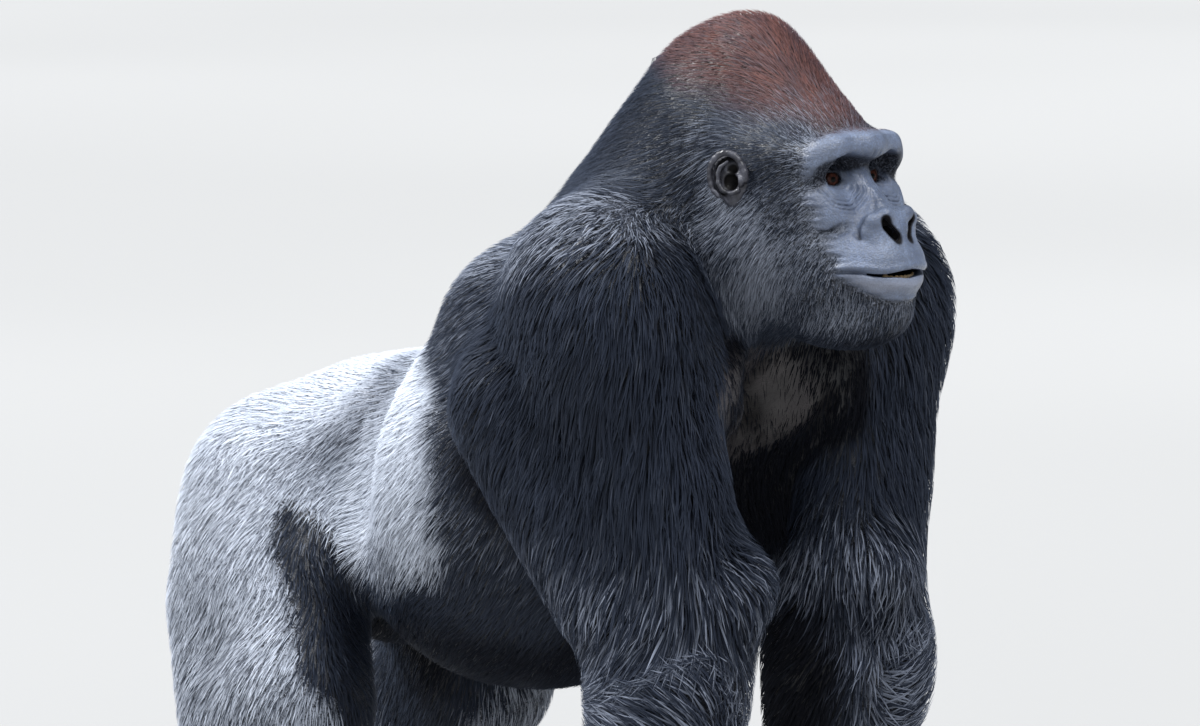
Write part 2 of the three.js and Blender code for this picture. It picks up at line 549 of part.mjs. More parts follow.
parts.abdomen = rest;

// ---- eyes, ears, nails ------------------------------------------------------------------------------
const EYE_RADIUS = 14;
for (const [side, s] of [["right", -1], ["left", 1]]) {
  const c = inHead([-EYE_RADIUS + 1.5, s * 34.5, 0]);
  parts["eye_" + side] = ball(c, [EYE_RADIUS, EYE_RADIUS, EYE_RADIUS], headTurn, 10, 6);
  parts.head = parts.head.subtract(ball(c, [EYE_RADIUS, EYE_RADIUS, EYE_RADIUS], headTurn, 10, 6, GAP));
  // The ear: a flat oval shell leaning back from the head, its front edge bedded in the side of the head.
  const earTurn = times(headTurn, turnMatrix([s * -26, 8, s * 6]));
  const e = inHead([-90, s * 114, 1]);
  const shell = ball(e, [25, 8.5, 33], earTurn, 12, 6);
  const bowl = ball(toWorld(earTurn, e, [2, s * 9.5, 3]), [16.5, 9.5, 23], earTurn, 10, 5);
  parts["ear_" + side] = shell.subtract(bowl);
  parts.head = parts.head.subtract(ball(e, [25, 8.5, 33], earTurn, 12, 6, GAP));
}
// One nail on each digit, half bedded in it: [place in the hand's or foot's own frame, half axes, pitch].
for (const [side, s] of [["right", -1], ["left", 1]]) {
  const digits = FINGERS.map(([across]) => [[-18, -s * across * 0.98, 24], [8.5, 7, 3.2], 144, 0]);
  digits.push([[33, -s * 71, 66], [9, 7, 3.2], -60, s * 20]);
  const toes = TOES.map(([x, y, l]) => [[x + l + 9, s * y * 1.25, 21], [7.5, 8, 3.2], -50, 0]);
  toes.push([[114, -s * 70, 27], [9, 10, 3.6], -45, s * -20]);
  for (const [limb, list, word] of [["hand", digits, "nail_finger"], ["foot", toes, "nail_toe"]]) {
    const g = groups[limb + "_" + side];
    list.forEach(([at, size, pitch, yaw], i) => {
      const turn = times(g.turn, turnMatrix([yaw, pitch, 0])), c = toWorld(g.turn, g.origin, at);
      parts[word + "_" + side + "_" + (i + 1)] = ball(c, size, turn, 6, 3);
      parts[limb + "_" + side] = parts[limb + "_" + side].subtract(ball(c, size, turn, 6, 3, GAP));
    });
  }
}

// ---- the scene graph ---------------------------------------------------------------------------------
const skinBlack = new THREE.MeshStandardMaterial({ color: 0x2b2c31, roughness: 0.62, metalness: 0 });
const coatBlack = new THREE.MeshStandardMaterial({ color: 0x22242b, roughness: 0.85, metalness: 0 });
const coatSilver = new THREE.MeshStandardMaterial({ color: 0x8d9196, roughness: 0.85, metalness: 0 });
const coatBrown = new THREE.MeshStandardMaterial({ color: 0x3f3634, roughness: 0.85, metalness: 0 });
const eyeBrown = new THREE.MeshStandardMaterial({ color: 0x5a2f16, roughness: 0.12, metalness: 0 });
const nailHorn = new THREE.MeshStandardMaterial({ color: 0x1d1b1c, roughness: 0.4, metalness: 0 });
const look = (name) =>
  name.startsWith("eye") ? eyeBrown
  : name.startsWith("nail") ? nailHorn
  : /^(hand|foot|ear)/.test(name) ? skinBlack
  : /^(pelvis|abdomen|thigh)/.test(name) ? coatSilver
  : /^(head|neck)/.test(name) ? coatBrown
  : coatBlack;

// Edges shorter than `least` are closed up, so that no part keeps a needle of a face from a cut.
function tidy(m, least) {
  const n = m.vertProperties.length / m.numProp, to = Array.from({ length: n }, (_, i) => i);
  const find = (i) => (to[i] === i ? i : (to[i] = find(to[i])));
  const xyz = (i) => [0, 1, 2].map((j) => m.vertProperties[i * m.numProp + j]);
  for (let t = 0; t < m.triVerts.length; t++) {
    const a = m.triVerts[t], b = m.triVerts[t % 3 === 2 ? t - 2 : t + 1];
    const p = xyz(a), q = xyz(b);
    if (Math.hypot(p[0] - q[0], p[1] - q[1], p[2] - q[2]) < least) to[Math.max(find(a), find(b))] = Math.min(find(a), find(b));
  }
  const position = [], index = [], slot = new Map();
  for (let t = 0; t < m.triVerts.length; t += 3) {
    const c = [find(m.triVerts[t]), find(m.triVerts[t + 1]), find(m.triVerts[t + 2])];
    if (c[0] === c[1] || c[1] === c[2] || c[2] === c[0]) continue;
    for (const i of c) {
      if (!slot.has(i)) {
        slot.set(i, position.length / 3);
        position.push(...xyz(i));
      }
      index.push(slot.get(i));
    }
  }
  return { position, index };
}

const gorilla = new THREE.Group();
gorilla.name = "gorilla";
for (const [name, body] of Object.entries(parts)) {
  const { position, index } = tidy(body.getMesh(), 0.05);
  const geometry = new THREE.BufferGeometry();
  geometry.setAttribute("position", new THREE.BufferAttribute(Float32Array.from(position), 3));
  geometry.setIndex(new THREE.BufferAttribute(Uint32Array.from(index), 1));
  geometry.computeVertexNormals();
  const mesh = new THREE.Mesh(geometry, look(name));
  mesh.name = name;
  gorilla.add(mesh);
}
export default gorilla;
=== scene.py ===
"""A life-size western lowland gorilla, standing on its knuckles: skin, eyes, ears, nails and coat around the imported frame.

Shapes are worked in millimetres in the animal's own axes (forward, left, up), and moved to the row frame at the end:
X = left + SHIFT_X, Y = -forward + SHIFT_Y, Z = up.
"""
import math

import bpy
import numpy as np
from mathutils import Matrix, Vector


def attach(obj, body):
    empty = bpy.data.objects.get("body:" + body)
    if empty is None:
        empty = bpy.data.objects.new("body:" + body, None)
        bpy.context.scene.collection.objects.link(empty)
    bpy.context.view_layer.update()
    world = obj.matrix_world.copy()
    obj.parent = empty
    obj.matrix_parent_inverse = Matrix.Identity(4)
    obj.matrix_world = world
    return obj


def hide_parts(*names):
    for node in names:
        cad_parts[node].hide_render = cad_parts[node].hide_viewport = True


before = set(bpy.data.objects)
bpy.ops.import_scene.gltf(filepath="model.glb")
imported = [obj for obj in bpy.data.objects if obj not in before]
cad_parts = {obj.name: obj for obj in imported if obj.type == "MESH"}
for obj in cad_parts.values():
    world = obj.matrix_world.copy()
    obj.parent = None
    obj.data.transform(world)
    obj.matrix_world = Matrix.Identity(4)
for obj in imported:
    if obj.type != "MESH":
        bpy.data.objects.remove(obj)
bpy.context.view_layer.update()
F = np.float32
SHIFT_X, SHIFT_Y = 5.22, -64.08
rng = np.random.default_rng(20240611)


# ------------------------------------------------------------------ distance fields
def turned(yaw=0, pitch=0, roll=0):
    """Columns are the local forward, left and up axes. Yaw turns left, pitch lifts the front."""
    y, p, r = [math.radians(a) for a in (yaw, pitch, roll)]
    rz = np.array([[math.cos(y), -math.sin(y), 0], [math.sin(y), math.cos(y), 0], [0, 0, 1]])
    ry = np.array([[math.cos(p), 0, -math.sin(p)], [0, 1, 0], [math.sin(p), 0, math.cos(p)]])
    rx = np.array([[1, 0, 0], [0, math.cos(r), -math.sin(r)], [0, math.sin(r), math.cos(r)]])
    return rz @ ry @ rx


class Group:
    """Rounded solids that melt into one another, each with its own softness k."""

    def __init__(self, origin=(0, 0, 0), turn=(0, 0, 0)):
        self.o = np.array(origin, float)
        self.R = turned(*turn)
        self.items = []

    def ell(self, c, r, turn=(0, 0, 0), k=20, cut=False):
        R = turned(*turn)
        ext = np.sqrt(((R * np.array(r, float)) ** 2).sum(1))
        c = np.array(c, float)
        self.items.append(("e", c, np.array(r, float), R, k, cut, c - ext, c + ext))

    def con(self, a, b, ra, rb, k=20, cut=False):
        a, b = np.array(a, float), np.array(b, float)
        lo, hi = np.minimum(a - ra, b - rb), np.maximum(a + ra, b + rb)
        self.items.append(("c", a, b, (ra, rb), k, cut, lo, hi))

    def ell2(self, c, r, turn=(0, 0, 0), k=20, cut=False):
        for s in (-1, 1):
            self.ell((c[0], s * c[1], c[2]), r, (s * turn[0], turn[1], s * turn[2]), k, cut)

    def con2(self, a, b, ra, rb, k=20, cut=False):
        for s in (-1, 1):
            self.con((a[0], s * a[1], a[2]), (b[0], s * b[1], b[2]), ra, rb, k, cut)

    def local(self, P):
        return (P - self.o.astype(F)) @ self.R.astype(F)

    def world(self, q):
        return np.asarray(q, float) @ self.R.T + self.o

    def dist(self, P, margin):
        Q = self.local(P)
        D = np.full(len(P), 1e3, F)
        for it in self.items:
            kind, k, cut, lo, hi = it[0], it[4], it[5], it[6], it[7]
            m = margin + k
            idx = np.nonzero(((Q >= (lo - m).astype(F)) & (Q <= (hi + m).astype(F))).all(1))[0]
            if not len(idx):
                continue
            q = Q[idx]
            if kind == "e":
                d = d_ell((q - it[1].astype(F)) @ it[3].astype(F), it[2].astype(F))
            else:
                d = d_con(q.astype(np.float64), it[1], it[2], *it[3])
            d = d.astype(F)
            k = F(max(k, 1e-3))
            D[idx] = smax(D[idx], -d, k) if cut else smin(D[idx], d, k)
        return D


def smin(a, b, k):
    h = np.maximum(k - np.abs(a - b), 0) / k
    return np.minimum(a, b) - h * h * (k * F(0.25))


def smax(a, b, k):
    h = np.maximum(k - np.abs(a - b), 0) / k
    return np.maximum(a, b) + h * h * (k * F(0.25))


def d_ell(q, r):
    k0 = np.sqrt(((q / r) ** 2).sum(1))
    k1 = np.sqrt(((q / (r * r)) ** 2).sum(1))
    return k0 * (k0 - 1) / np.maximum(k1, 1e-9)


def d_con(p, a, b, ra, rb):
    """Exact distance to a cone with ball ends."""
    ba = b - a
    l2 = float(ba @ ba)
    rr = ra - rb
    a2 = l2 - rr * rr
    il2 = 1.0 / l2
    pa = p - a
    y = pa @ ba
    z = y - l2
    x = pa * l2 - y[:, None] * ba
    x2 = (x * x).sum(1)
    y2 = y * y * l2
    z2 = z * z * l2
    k = np.sign(rr) * rr * rr * x2
    out = (np.sqrt(x2 * a2 * il2) + y * rr) * il2 - ra
    m1 = np.sign(z) * a2 * z2 > k
    m2 = (~m1) & (np.sign(y) * a2 * y2 < k)
    out = np.where(m1, np.sqrt(np.maximum(x2 + z2, 0)) * il2 - rb, out)
    return np.where(m2, np.sqrt(np.maximum(x2 + y2, 0)) * il2 - ra, out)


def sstep(x, a, b):
    t = np.clip((x - a) / (b - a), 0, 1)
    return t * t * (3 - 2 * t)


def unit(v):
    return v / np.maximum(np.linalg.norm(v, axis=-1, keepdims=True), 1e-9)


# ------------------------------------------------------------------ the animal's outline, out to the coat's tips
EYE = [408, 0, 1005]
SHOULDER = {-1: [235, -205, 892], 1: [235, 200, 892]}
ELBOW = {-1: [305, -180, 502], 1: [250, 160, 495]}
WRIST = {-1: [300, -262, 150], 1: [180, 205, 150]}
HIP = {-1: [-430, -112, 640], 1: [-430, 112, 640]}
KNEE = {-1: [-275, -222, 355], 1: [-385, 185, 340]}
ANKLE = {-1: [-430, -205, 88], 1: [-540, 187, 88]}
FINGERS = [[-36, 0.9], [-12, 1.0], [13, 1.0], [37, 0.86]]
TOES = [[108, -26, 62], [118, -6, 66], [118, 14, 60], [108, 33, 52]]

trunk = Group()
trunk.ell([-90, 0, 612], [240, 228, 240], [0, 8, 0], 60)
trunk.ell([-30, 0, 645], [300, 238, 195], [0, 10, 0], 60)
trunk.ell([130, 0, 760], [185, 215, 205], [0, 25, 0], 70)
trunk.ell([120, 0, 845], [170, 180, 105], [0, 28, 0], 60)
trunk.ell2([55, 115, 826], [128, 110, 105], [0, 30, 0], 60)
trunk.ell2([225, 95, 735], [85, 105, 120], [0, 0, 0], 50)
trunk.ell([-280, 0, 660], [175, 160, 100], [0, 3, 0], 60)
trunk.ell([-380, 0, 610], [140, 155, 132], [0, 0, 0], 50)
trunk.ell2([0, 112, 804], [112, 106, 108], [0, 0, 0], 50)
trunk.ell([-160, 0, 565], [155, 180, 176], [0, 0, 0], 50)
trunk.ell([-345, 0, 505], [115, 100, 105], [0, 0, 0], 50)
trunk.ell2([-434, 98, 556], [110, 98, 128], [0, 0, 0], 40)
trunk.ell([-250, 0, 868], [130, 280, 98], [0, 0, 0], 30, True)
trunk.con2([-222, 165, 800], [-262, 238, 620], 55, 82, 60, True)
trunk.con([338, 0, 830], [302, 0, 660], 74, 64, 36, True)
trunk.ell([342, 0, 624], [126, 160, 88], [0, -10, 0], 40, True)

head = Group(EYE, [3, 0, 0])
head.con([-200, 0, 50], [-287, 0, -78], 108, 128, 50)
head.con2([-200, 28, -10], [-255, 160, -125], 92, 88, 55)
head.ell([-140, 0, 15], [140, 97, 95], [0, 0, 0], 40)
head.ell([-171, 0, 95], [95, 52, 84], [0, 8, 0], 45)
head.con([-40, 0, 28], [-146, 0, 128], 46, 44, 45)
head.con2([-95, 52, -75], [-15, 38, -115], 72, 58, 40)
head.ell2([-75, 62, -40], [80, 43, 85], [0, 0, 0], 40)
head.ell([-90, 0, -110], [130, 85, 72], [0, 12, 0], 40)
head.con2([20, 9, 40], [9, 44, 36], 15.5, 15.5, 18)
head.con2([9, 44, 36], [-7, 64, 19], 15.5, 17, 12)
head.con2([-8, 60, 30], [-50, 72, 26], 15, 24, 24)
head.ell2([-22, 61, 0], [18, 17, 30], [0, 0, 0], 16)
head.ell2([-10, 50, -34], [32, 26, 26], [0, 0, 0], 22)
head.con([-20, 0, -74], [28, 0, -96], 62, 56, 30)
head.con([-7, 0, 2], [44, 0, -46], 15, 18, 18)
head.ell([56, 0, -54], [17, 19, 14], [0, -20, 0], 12)
head.ell2([48, 23, -60], [17, 14, 16], [25, 0, 0], 8)
head.ell([40, 0, -90], [45, 50, 23], [0, -6, 0], 14)
head.ell([38, 0, -122], [44, 46, 18], [0, -4, 0], 8)
head.ell([26, 0, -148], [48, 43, 32], [0, 0, 0], 20)
head.ell([-8, 0, -158], [66, 58, 38], [0, 4, 0], 30)
head.ell2([15, 35, 11], [22, 19.5, 22], [0, 0, 0], 8, True)

arm, leg, hand, foot = {}, {}, {}, {}
for s in (-1, 1):
    S, E, W = SHOULDER[s], ELBOW[s], WRIST[s]
    g = arm[s] = Group()
    g.ell([S[0] - 15, S[1] + s * 18, S[2] - 45], [108, 92, 135], [0, 12, s * 4], 40)
    g.con([S[0], S[1], S[2] - 60], [E[0], E[1], E[2] + 20], 98, 86, 40)
    g.ell([S[0] - 35, S[1] + s * 6, S[2] - 205], [88, 72, 165], [0, 15, 0], 45)
    g.con([S[0] - 130, S[1] + s * 20, S[2] - 157], [E[0] - 60, E[1] + s * 40, E[2] + 30], 92, 76, 40)
    g.con([E[0] - 12, E[1], E[2] + 25], [E[0] - 20, E[1] + s * 8, E[2] - 20], 90, 80, 30)
    g.ell([E[0] - 2, E[1] + s * 18, E[2] - 85], [94, 84, 120], [0, 0, 0], 35)
    g.con([E[0], E[1] + s * 12, E[2] - 60], W, 84, 56, 40)
    g.ell([E[0] + 56, E[1] - s * 26, E[2] + 44], [62, 56, 56], [0, 0, 0], 40)
    g.con([E[0] - 4, E[1] - 17 - 17 * s, E[2] - 60], [W[0] + 6, W[1] - 24 - 24 * s, W[2] + 20], 72, 52, 40)
    H_, K, A = HIP[s], KNEE[s], ANKLE[s]
    g = leg[s] = Group()
    g.con([H_[0] + 10, H_[1] + s * 14, H_[2] - 50], K, 115, 80, 40)
    g.ell([H_[0] - 6, H_[1] + s * 64, H_[2] - 185], [100, 82, 140], [0, 0, 0], 55)
    g.con([K[0] - 14, K[1], K[2] - 5], A, 80, 50, 50)
    g.ell([K[0] - 108, K[1], K[2] - 42], [84, 66, 128], [0, 24, 0], 50)
    g = hand[s] = Group([W[0], W[1], 0], [-s * 18, 0, 0])
    g.con([0, 0, 150], [4, 0, 120], 50, 44, 20)
    g.ell([14, 0, 92], [32, 50, 52], [0, -14, 0], 18)
    for across, l in FINGERS:
        y = -s * across
        g.con([20, y, 80], [40 + 6 * l, y * 1.02, 46], 19, 18, 8)
        g.con([40 + 6 * l, y * 1.02, 46], [46 + 16 * l, y * 1.04, 16], 18, 18, 6)
        g.con([46 + 16 * l, y * 1.04, 16], [14, y * 1.0, 14], 18, 16, 6)
        g.con([14, y * 1.0, 14], [-8, y * 0.98, 30], 15, 12, 5)
    g.con([-6, -s * 44, 112], [26, -s * 62, 72], 17, 13, 10)
    g = foot[s] = Group([A[0], A[1], 0], [s * 12, 0, 0])
    g.ell([0, 0, 84], [52, 42, 48], [0, 0, 0], 16)
    g.ell([-40, 0, 36], [44, 36, 40], [0, 0, 0], 16)
    g.con([-30, 0, 34], [110, s * 4, 30], 38, 34, 22)
    g.ell([50, 0, 52], [72, 40, 34], [0, -16, 0], 20)
    for x, y, l in TOES:
        g.con([x - 18, s * y, 28], [x + l, s * y * 1.25, 14], 20, 16, 6)
    g.con([34, -s * 34, 30], [104, -s * 66, 18], 24, 20, 10)


def envelope(P, margin=20, parts=False):
    dt, dh = trunk.dist(P, margin), head.dist(P, margin)
    d = smin(dt, dh, F(60))
    z = P[:, 2]
    got = {"trunk": dt, "head": dh}
    for s in (-1, 1):
        a, h_ = arm[s].dist(P, margin), hand[s].dist(P, margin)
        l_, f_ = leg[s].dist(P, margin), foot[s].dist(P, margin)
        got["arm", s], got["hand", s], got["leg", s], got["foot", s] = a, h_, l_, f_
        d = smin(d, smin(a, h_, F(16)), (8 + 62 * sstep(z, 690, 800)).astype(F))
        d = smin(d, smin(l_, f_, F(20)), (8 + 52 * sstep(z, 400, 520)).astype(F))
    return (d, got) if parts else d


# ------------------------------------------------------------------ lie, length and depth of the coat
# position, the way the hair points, its length, its depth over the skin, reach of this entry
LAY = []


def lay(p, t, length, depth, reach=70, both=True, frame_of=None):
    for s in (-1, 1) if both else (1,):
        q = np.array([p[0], s * p[1], p[2]], float)
        v = np.array([t[0], s * t[1], t[2]], float)
        if frame_of is not None:
            q, v = frame_of.world(q), v @ frame_of.R.T
        LAY.append((q, unit(v), length, depth, reach))


# back, saddle and rump
lay([150, 0, 950], [-1, 0, -0.1], 20, 9, 80, False)
lay([60, 90, 915], [-1, 0.15, -0.35], 20, 9)
lay([-20, 0, 850], [-1, 0, -0.1], 18, 8, 80, False)
lay([-50, 150, 800], [-0.9, 0.2, -0.45], 18, 8)
lay([-170, 0, 800], [-1, 0, 0], 17, 7, 80, False)
lay([-170, 130, 760], [-0.9, 0.1, -0.5], 17, 7)
lay([-300, 0, 760], [-1, 0, -0.1], 17, 7, 80, False)
lay([-310, 120, 720], [-0.85, 0.15, -0.5], 18, 7)
lay([-420, 0, 740], [-0.9, 0, -0.4], 18, 7, 70, False)
lay([-430, 130, 690], [-0.6, 0.1, -0.8], 18, 7)
lay([-520, 60, 610], [-0.3, 0.1, -1], 20, 8)
lay([-545, 90, 500], [0, 0.1, -1], 22, 9)
# flanks and belly
lay([-40, 230, 700], [-0.75, 0, -0.7], 19, 8)
lay([-160, 220, 640], [-0.75, 0, -0.7], 18, 7)
lay([-150, 215, 540], [-0.55, -0.1, -0.85], 22, 9)
lay([-20, 230, 560], [-0.5, 0, -0.9], 24, 10)
lay([100, 220, 620], [-0.4, 0, -0.9], 26, 11)
lay([-60, 120, 410], [-0.8, -0.4, -0.3], 26, 10)
lay([-60, 0, 385], [-1, 0, 0], 26, 10, 80, False)
lay([100, 90, 480], [-0.7, 0, -0.6], 26, 10)
lay([-260, 90, 480], [-0.6, 0, -0.6], 22, 8)
lay([-300, 180, 560], [-0.5, 0, -0.8], 18, 7)
# chest, thinly haired
lay([300, 50, 760], [0.1, -0.1, -1], 14, 2.0, 60)
lay([290, 90, 660], [0, -0.1, -1], 18, 2.5, 60)
lay([230, 0, 560], [-0.4, 0, -0.9], 22, 5, 60, False)
# head, in its own axes
h_ = dict(frame_of=head)
lay([22, 25, 58], [-0.8, 0.25, 0.6], 7, 1.5, 28, **h_)
lay([-20, 28, 84], [-0.75, 0.1, 0.65], 10, 3.5, 40, **h_)
lay([-70, 35, 130], [-0.8, 0.1, 0.55], 13, 6, 45, **h_)
lay([-130, 20, 175], [-1, 0, 0.15], 15, 7, 50, **h_)
lay([-200, 20, 176], [-1, 0, -0.3], 16, 8, 50, **h_)
lay([-262, 20, 110], [-0.6, 0, -0.9], 18, 8, 55, **h_)
lay([-320, 30, 10], [-0.75, 0, -0.7], 20, 9, 60, **h_)
lay([-100, 80, 90], [-1, 0.1, -0.05], 13, 6, 45, **h_)
lay([-180, 85, 70], [-1, 0.05, -0.3], 15, 7, 45, **h_)
lay([-45, 88, 50], [-1, 0.1, -0.1], 9, 3.5, 35, **h_)
lay([-40, 92, -10], [-0.7, 0.2, -0.6], 9, 3.5, 30, **h_)
lay([-75, 105, -10], [-0.6, 0.1, -0.8], 10, 4.5, 30, **h_)
lay([-40, 100, -60], [-0.3, 0.2, -0.95], 12, 5, 35, **h_)
lay([-90, 112, -70], [-0.25, 0.1, -1], 14, 7, 40, **h_)
lay([-140, 118, -30], [-0.5, 0.1, -0.85], 14, 7, 40, **h_)
lay([0, 80, -90], [-0.4, 0.25, -0.85], 9, 3.5, 25, **h_)
lay([-20, 88, -130], [-0.2, 0.1, -1], 14, 6, 35, **h_)
lay([20, 60, -150], [-0.4, 0.3, -0.85], 12, 4, 25, **h_)
lay([56, 20, -152], [0.1, 0.2, -1], 9, 2.5, 25, **h_)
lay([30, 20, -188], [-0.5, 0, -0.8], 15, 5, 30, **h_)
lay([-50, 40, -200], [-0.8, 0, -0.4], 16, 7, 45, **h_)
lay([-130, 60, -170], [-0.8, 0, -0.5], 18, 8, 50, **h_)
lay([-190, 150, -70], [-0.5, 0.25, -0.85], 20, 9, 55, **h_)
lay([-270, 130, -10], [-0.8, 0.2, -0.55], 20, 9, 55, **h_)
lay([-150, 140, -130], [-0.3, 0.2, -0.95], 20, 9, 50, **h_)
del h_
for s in (-1, 1):
    S, E, W = SHOULDER[s], ELBOW[s], WRIST[s]
    one = dict(both=False)
    lay([S[0] - 10, S[1] + s * 40, S[2] + 85], [-0.35, s * 0.5, -0.8], 34, 12, 60, **one)
    lay([S[0] + 60, S[1] + s * 60, S[2] + 10], [-0.1, s * 0.3, -1], 44, 16, 65, **one)
    lay([S[0] - 80, S[1] + s * 80, S[2] - 10], [-0.35, s * 0.2, -0.95], 40, 14, 65, **one)
    lay([S[0] - 150, S[1] + s * 70, S[2] - 110], [-0.45, s * 0.1, -0.9], 30, 12, 65, **one)
    lay([S[0] + 70, S[1] + s * 60, S[2] - 130], [-0.05, s * 0.1, -1], 58, 20, 70, **one)
    lay([S[0] - 20, S[1] + s * 100, S[2] - 160], [-0.2, s * 0.05, -1], 58, 20, 70, **one)
    lay([S[0] - 90, S[1] + s * 80, S[2] - 240], [-0.35, s * 0.05, -0.95], 46, 16, 70, **one)
    lay([E[0] + 60, E[1] + s * 40, E[2] + 130], [0.02, 0, -1], 64, 22, 70, **one)
    lay([E[0] - 10, E[1] + s * 90, E[2] + 110], [-0.15, s * 0.05, -1], 62, 22, 70, **one)
    lay([E[0] - 90, E[1] + s * 60, E[2] + 60], [-0.45, s * 0.1, -0.9], 56, 20, 60, **one)
    lay([E[0] + 95, E[1] - s * 30, E[2] + 60], [0.85, -s * 0.35, -0.75], 58, 32, 42, **one)
    lay([E[0] + 60, E[1] - s * 50, E[2] + 20], [0.5, -s * 0.5, -0.85], 52, 28, 38, **one)
    lay([E[0] + 30, E[1] + s * 90, E[2] - 10], [-0.3, s * 0.2, -0.8], 56, 22, 50, **one)
    lay([E[0] - 90, E[1] + s * 50, E[2] - 30], [-0.8, s * 0.2, -0.4], 58, 24, 50, **one)
    lay([E[0] + 90, E[1] + s * 30, E[2] - 90], [-0.2, s * 0.5, 0.75], 50, 20, 55, **one)
    lay([E[0] + 10, E[1] + s * 110, E[2] - 110], [-0.75, s * 0.25, 0.45], 56, 22, 60, **one)
    lay([E[0] - 80, E[1] + s * 60, E[2] - 120], [-0.8, s * 0.3, -0.15], 58, 22, 60, **one)
    lay([E[0], E[1] - s * 60, E[2] - 60], [-0.5, 0, -0.7], 40, 14, 60, **one)
    lay([E[0], E[1] - s * 60, E[2] + 120], [-0.2, 0, -1], 36, 12, 60, **one)
    lay([W[0] + 50, W[1] + s * 20, W[2] + 130], [-0.4, s * 0.4, 0.5], 42, 15, 55, **one)
    lay([W[0] - 30, W[1] + s * 50, W[2] + 110], [-0.75, s * 0.4, -0.2], 46, 16, 55, **one)
    lay([W[0] + 50, W[1] + s * 10, W[2] + 40], [-0.2, s * 0.4, -0.85], 24, 7, 40, **one)
    lay([W[0] - 40, W[1] + s * 30, W[2] + 30], [-0.5, s * 0.2, -0.8], 26, 8, 40, **one)
    lay([W[0] + 40, W[1], W[2] - 45], [0.4, 0, -0.9], 12, 2, 32, **one)
    lay([W[0] + 50, W[1], 30], [0.2, 0, -1], 5, 0.4, 36, **one)
    lay([W[0] - 10, W[1], 20], [0.2, 0, -1], 5, 0.4, 36, **one)
    Hp, K, A = HIP[s], KNEE[s], ANKLE[s]
    lay([Hp[0] - 20, Hp[1] + s * 110, Hp[2] - 60], [-0.3, 0, -0.95], 20, 8, 70, **one)
    lay([Hp[0] + 80, Hp[1] + s * 110, Hp[2] - 120], [-0.15, 0, -1], 21, 8, 70, **one)
    lay([Hp[0] - 60, Hp[1] + s * 110, Hp[2] - 200], [-0.1, 0, -1], 24, 9, 70, **one)
    lay([K[0] + 60, K[1] + s * 30, K[2] + 60], [-0.15, s * 0.1, -1], 24, 9, 60, **one)
    lay([K[0] + 50, K[1], K[2] - 40], [-0.4, 0, -0.9], 26, 9, 60, **one)
    lay([K[0] - 60, K[1] + s * 60, K[2] - 60], [-0.25, 0, -0.95], 28, 10, 60, **one)
    lay([K[0] - 150, K[1], K[2] - 60], [-0.1, 0, -1], 30, 11, 60, **one)
    lay([A[0] + 40, A[1] + s * 30, A[2] + 110], [-0.2, 0, -1], 30, 10, 55, **one)
    lay([A[0] - 40, A[1], A[2] + 90], [-0.2, 0, -1], 28, 9, 50, **one)
    lay([A[0] + 40, A[1] + s * 10, A[2] + 5], [0.7, 0, -0.6], 20, 5, 36, **one)
    lay([A[0] - 50, A[1], A[2] - 30], [-0.2, 0, -1], 14, 3, 36, **one)
    lay([A[0] + 90, A[1] - s * 6, 40], [1, 0, -0.25], 9, 1.0, 40, **one)
    lay([A[0] + 150, A[1] - s * 10, 20], [1, 0, -0.25], 5, 0.4, 45, **one)

LAY_P = np.array([x[0] for x in LAY])
LAY_V = np.concatenate([np.array([x[1] for x in LAY]), np.array([[x[2], x[3]] for x in LAY])], 1)
LAY_R = np.array([x[4] for x in LAY], float)
LAT_LO, LAT_H = np.array([-640.0, -380.0, -40.0]), 22.0
LAT_N = np.array([57, 36, 60])


def make_lattice():
    ax = [LAT_LO[i] + LAT_H * np.arange(LAT_N[i]) for i in range(3)]
    G = np.stack(np.meshgrid(*ax, indexing="ij"), -1).reshape(-1, 3)
    out = np.empty((len(G), 5))
    for i in range(0, len(G), 20000):
        g = G[i : i + 20000]
        d2 = ((g[:, None, :] - LAY_P[None]) ** 2).sum(-1)
        e = -d2 / (2 * LAY_R**2)
        w = np.exp(e - e.max(1, keepdims=True))
        out[i : i + 20000] = (w @ LAY_V) / w.sum(1, keepdims=True)
    return out.reshape(*LAT_N, 5).astype(F)


LAT = make_lattice()


def lattice(P, cols=slice(0, 5)):
    q = np.clip((P - LAT_LO.astype(F)) / F(LAT_H), 0, (LAT_N - 1.001).astype(F))
    i = q.astype(np.int32)
    t = (q - i)[:, :, None]
    L = LAT[..., cols]
    out = 0
    for a in (0, 1):
        wa = t[:, 0] if a else 1 - t[:, 0]
        for b in (0, 1):
            wb = t[:, 1] if b else 1 - t[:, 1]
            for c in (0, 1):
                wc = t[:, 2] if c else 1 - t[:, 2]
                out = out + L[i[:, 0] + a, i[:, 1] + b, i[:, 2] + c] * (wa * wb * wc)
    return out


def to_line(q, pts):
    """Distance from points to a bent line."""
    best = np.full(len(q), 1e6, F)
    pts = np.array(pts, F)
    for a, b in zip(pts[:-1], pts[1:]):
        ab = b - a
        t = np.clip(((q - a) @ ab) / (ab @ ab), 0, 1)
        best = np.minimum(best, np.linalg.norm(q - a - t[:, None] * ab, axis=1))
    return best


def under_brow(H):
    """1 in the black band between the brow and the upper lids, from one outer corner to the other."""
    x, y, z = H[:, 0], np.abs(H[:, 1]), H[:, 2]
    top = np.interp(y, [0, 14, 30, 52, 66, 80], [25, 27, 28, 27, 23, 16])
    low = np.interp(y, [0, 10, 18, 34, 50, 58, 74], [13, 11, 8, 9, 7, -4, -10])
    return (sstep(top - z, -3, 4) * sstep(z - low, -3, 3) * sstep(x, -22, -8) * sstep(80 - y, 0, 9)).astype(F)


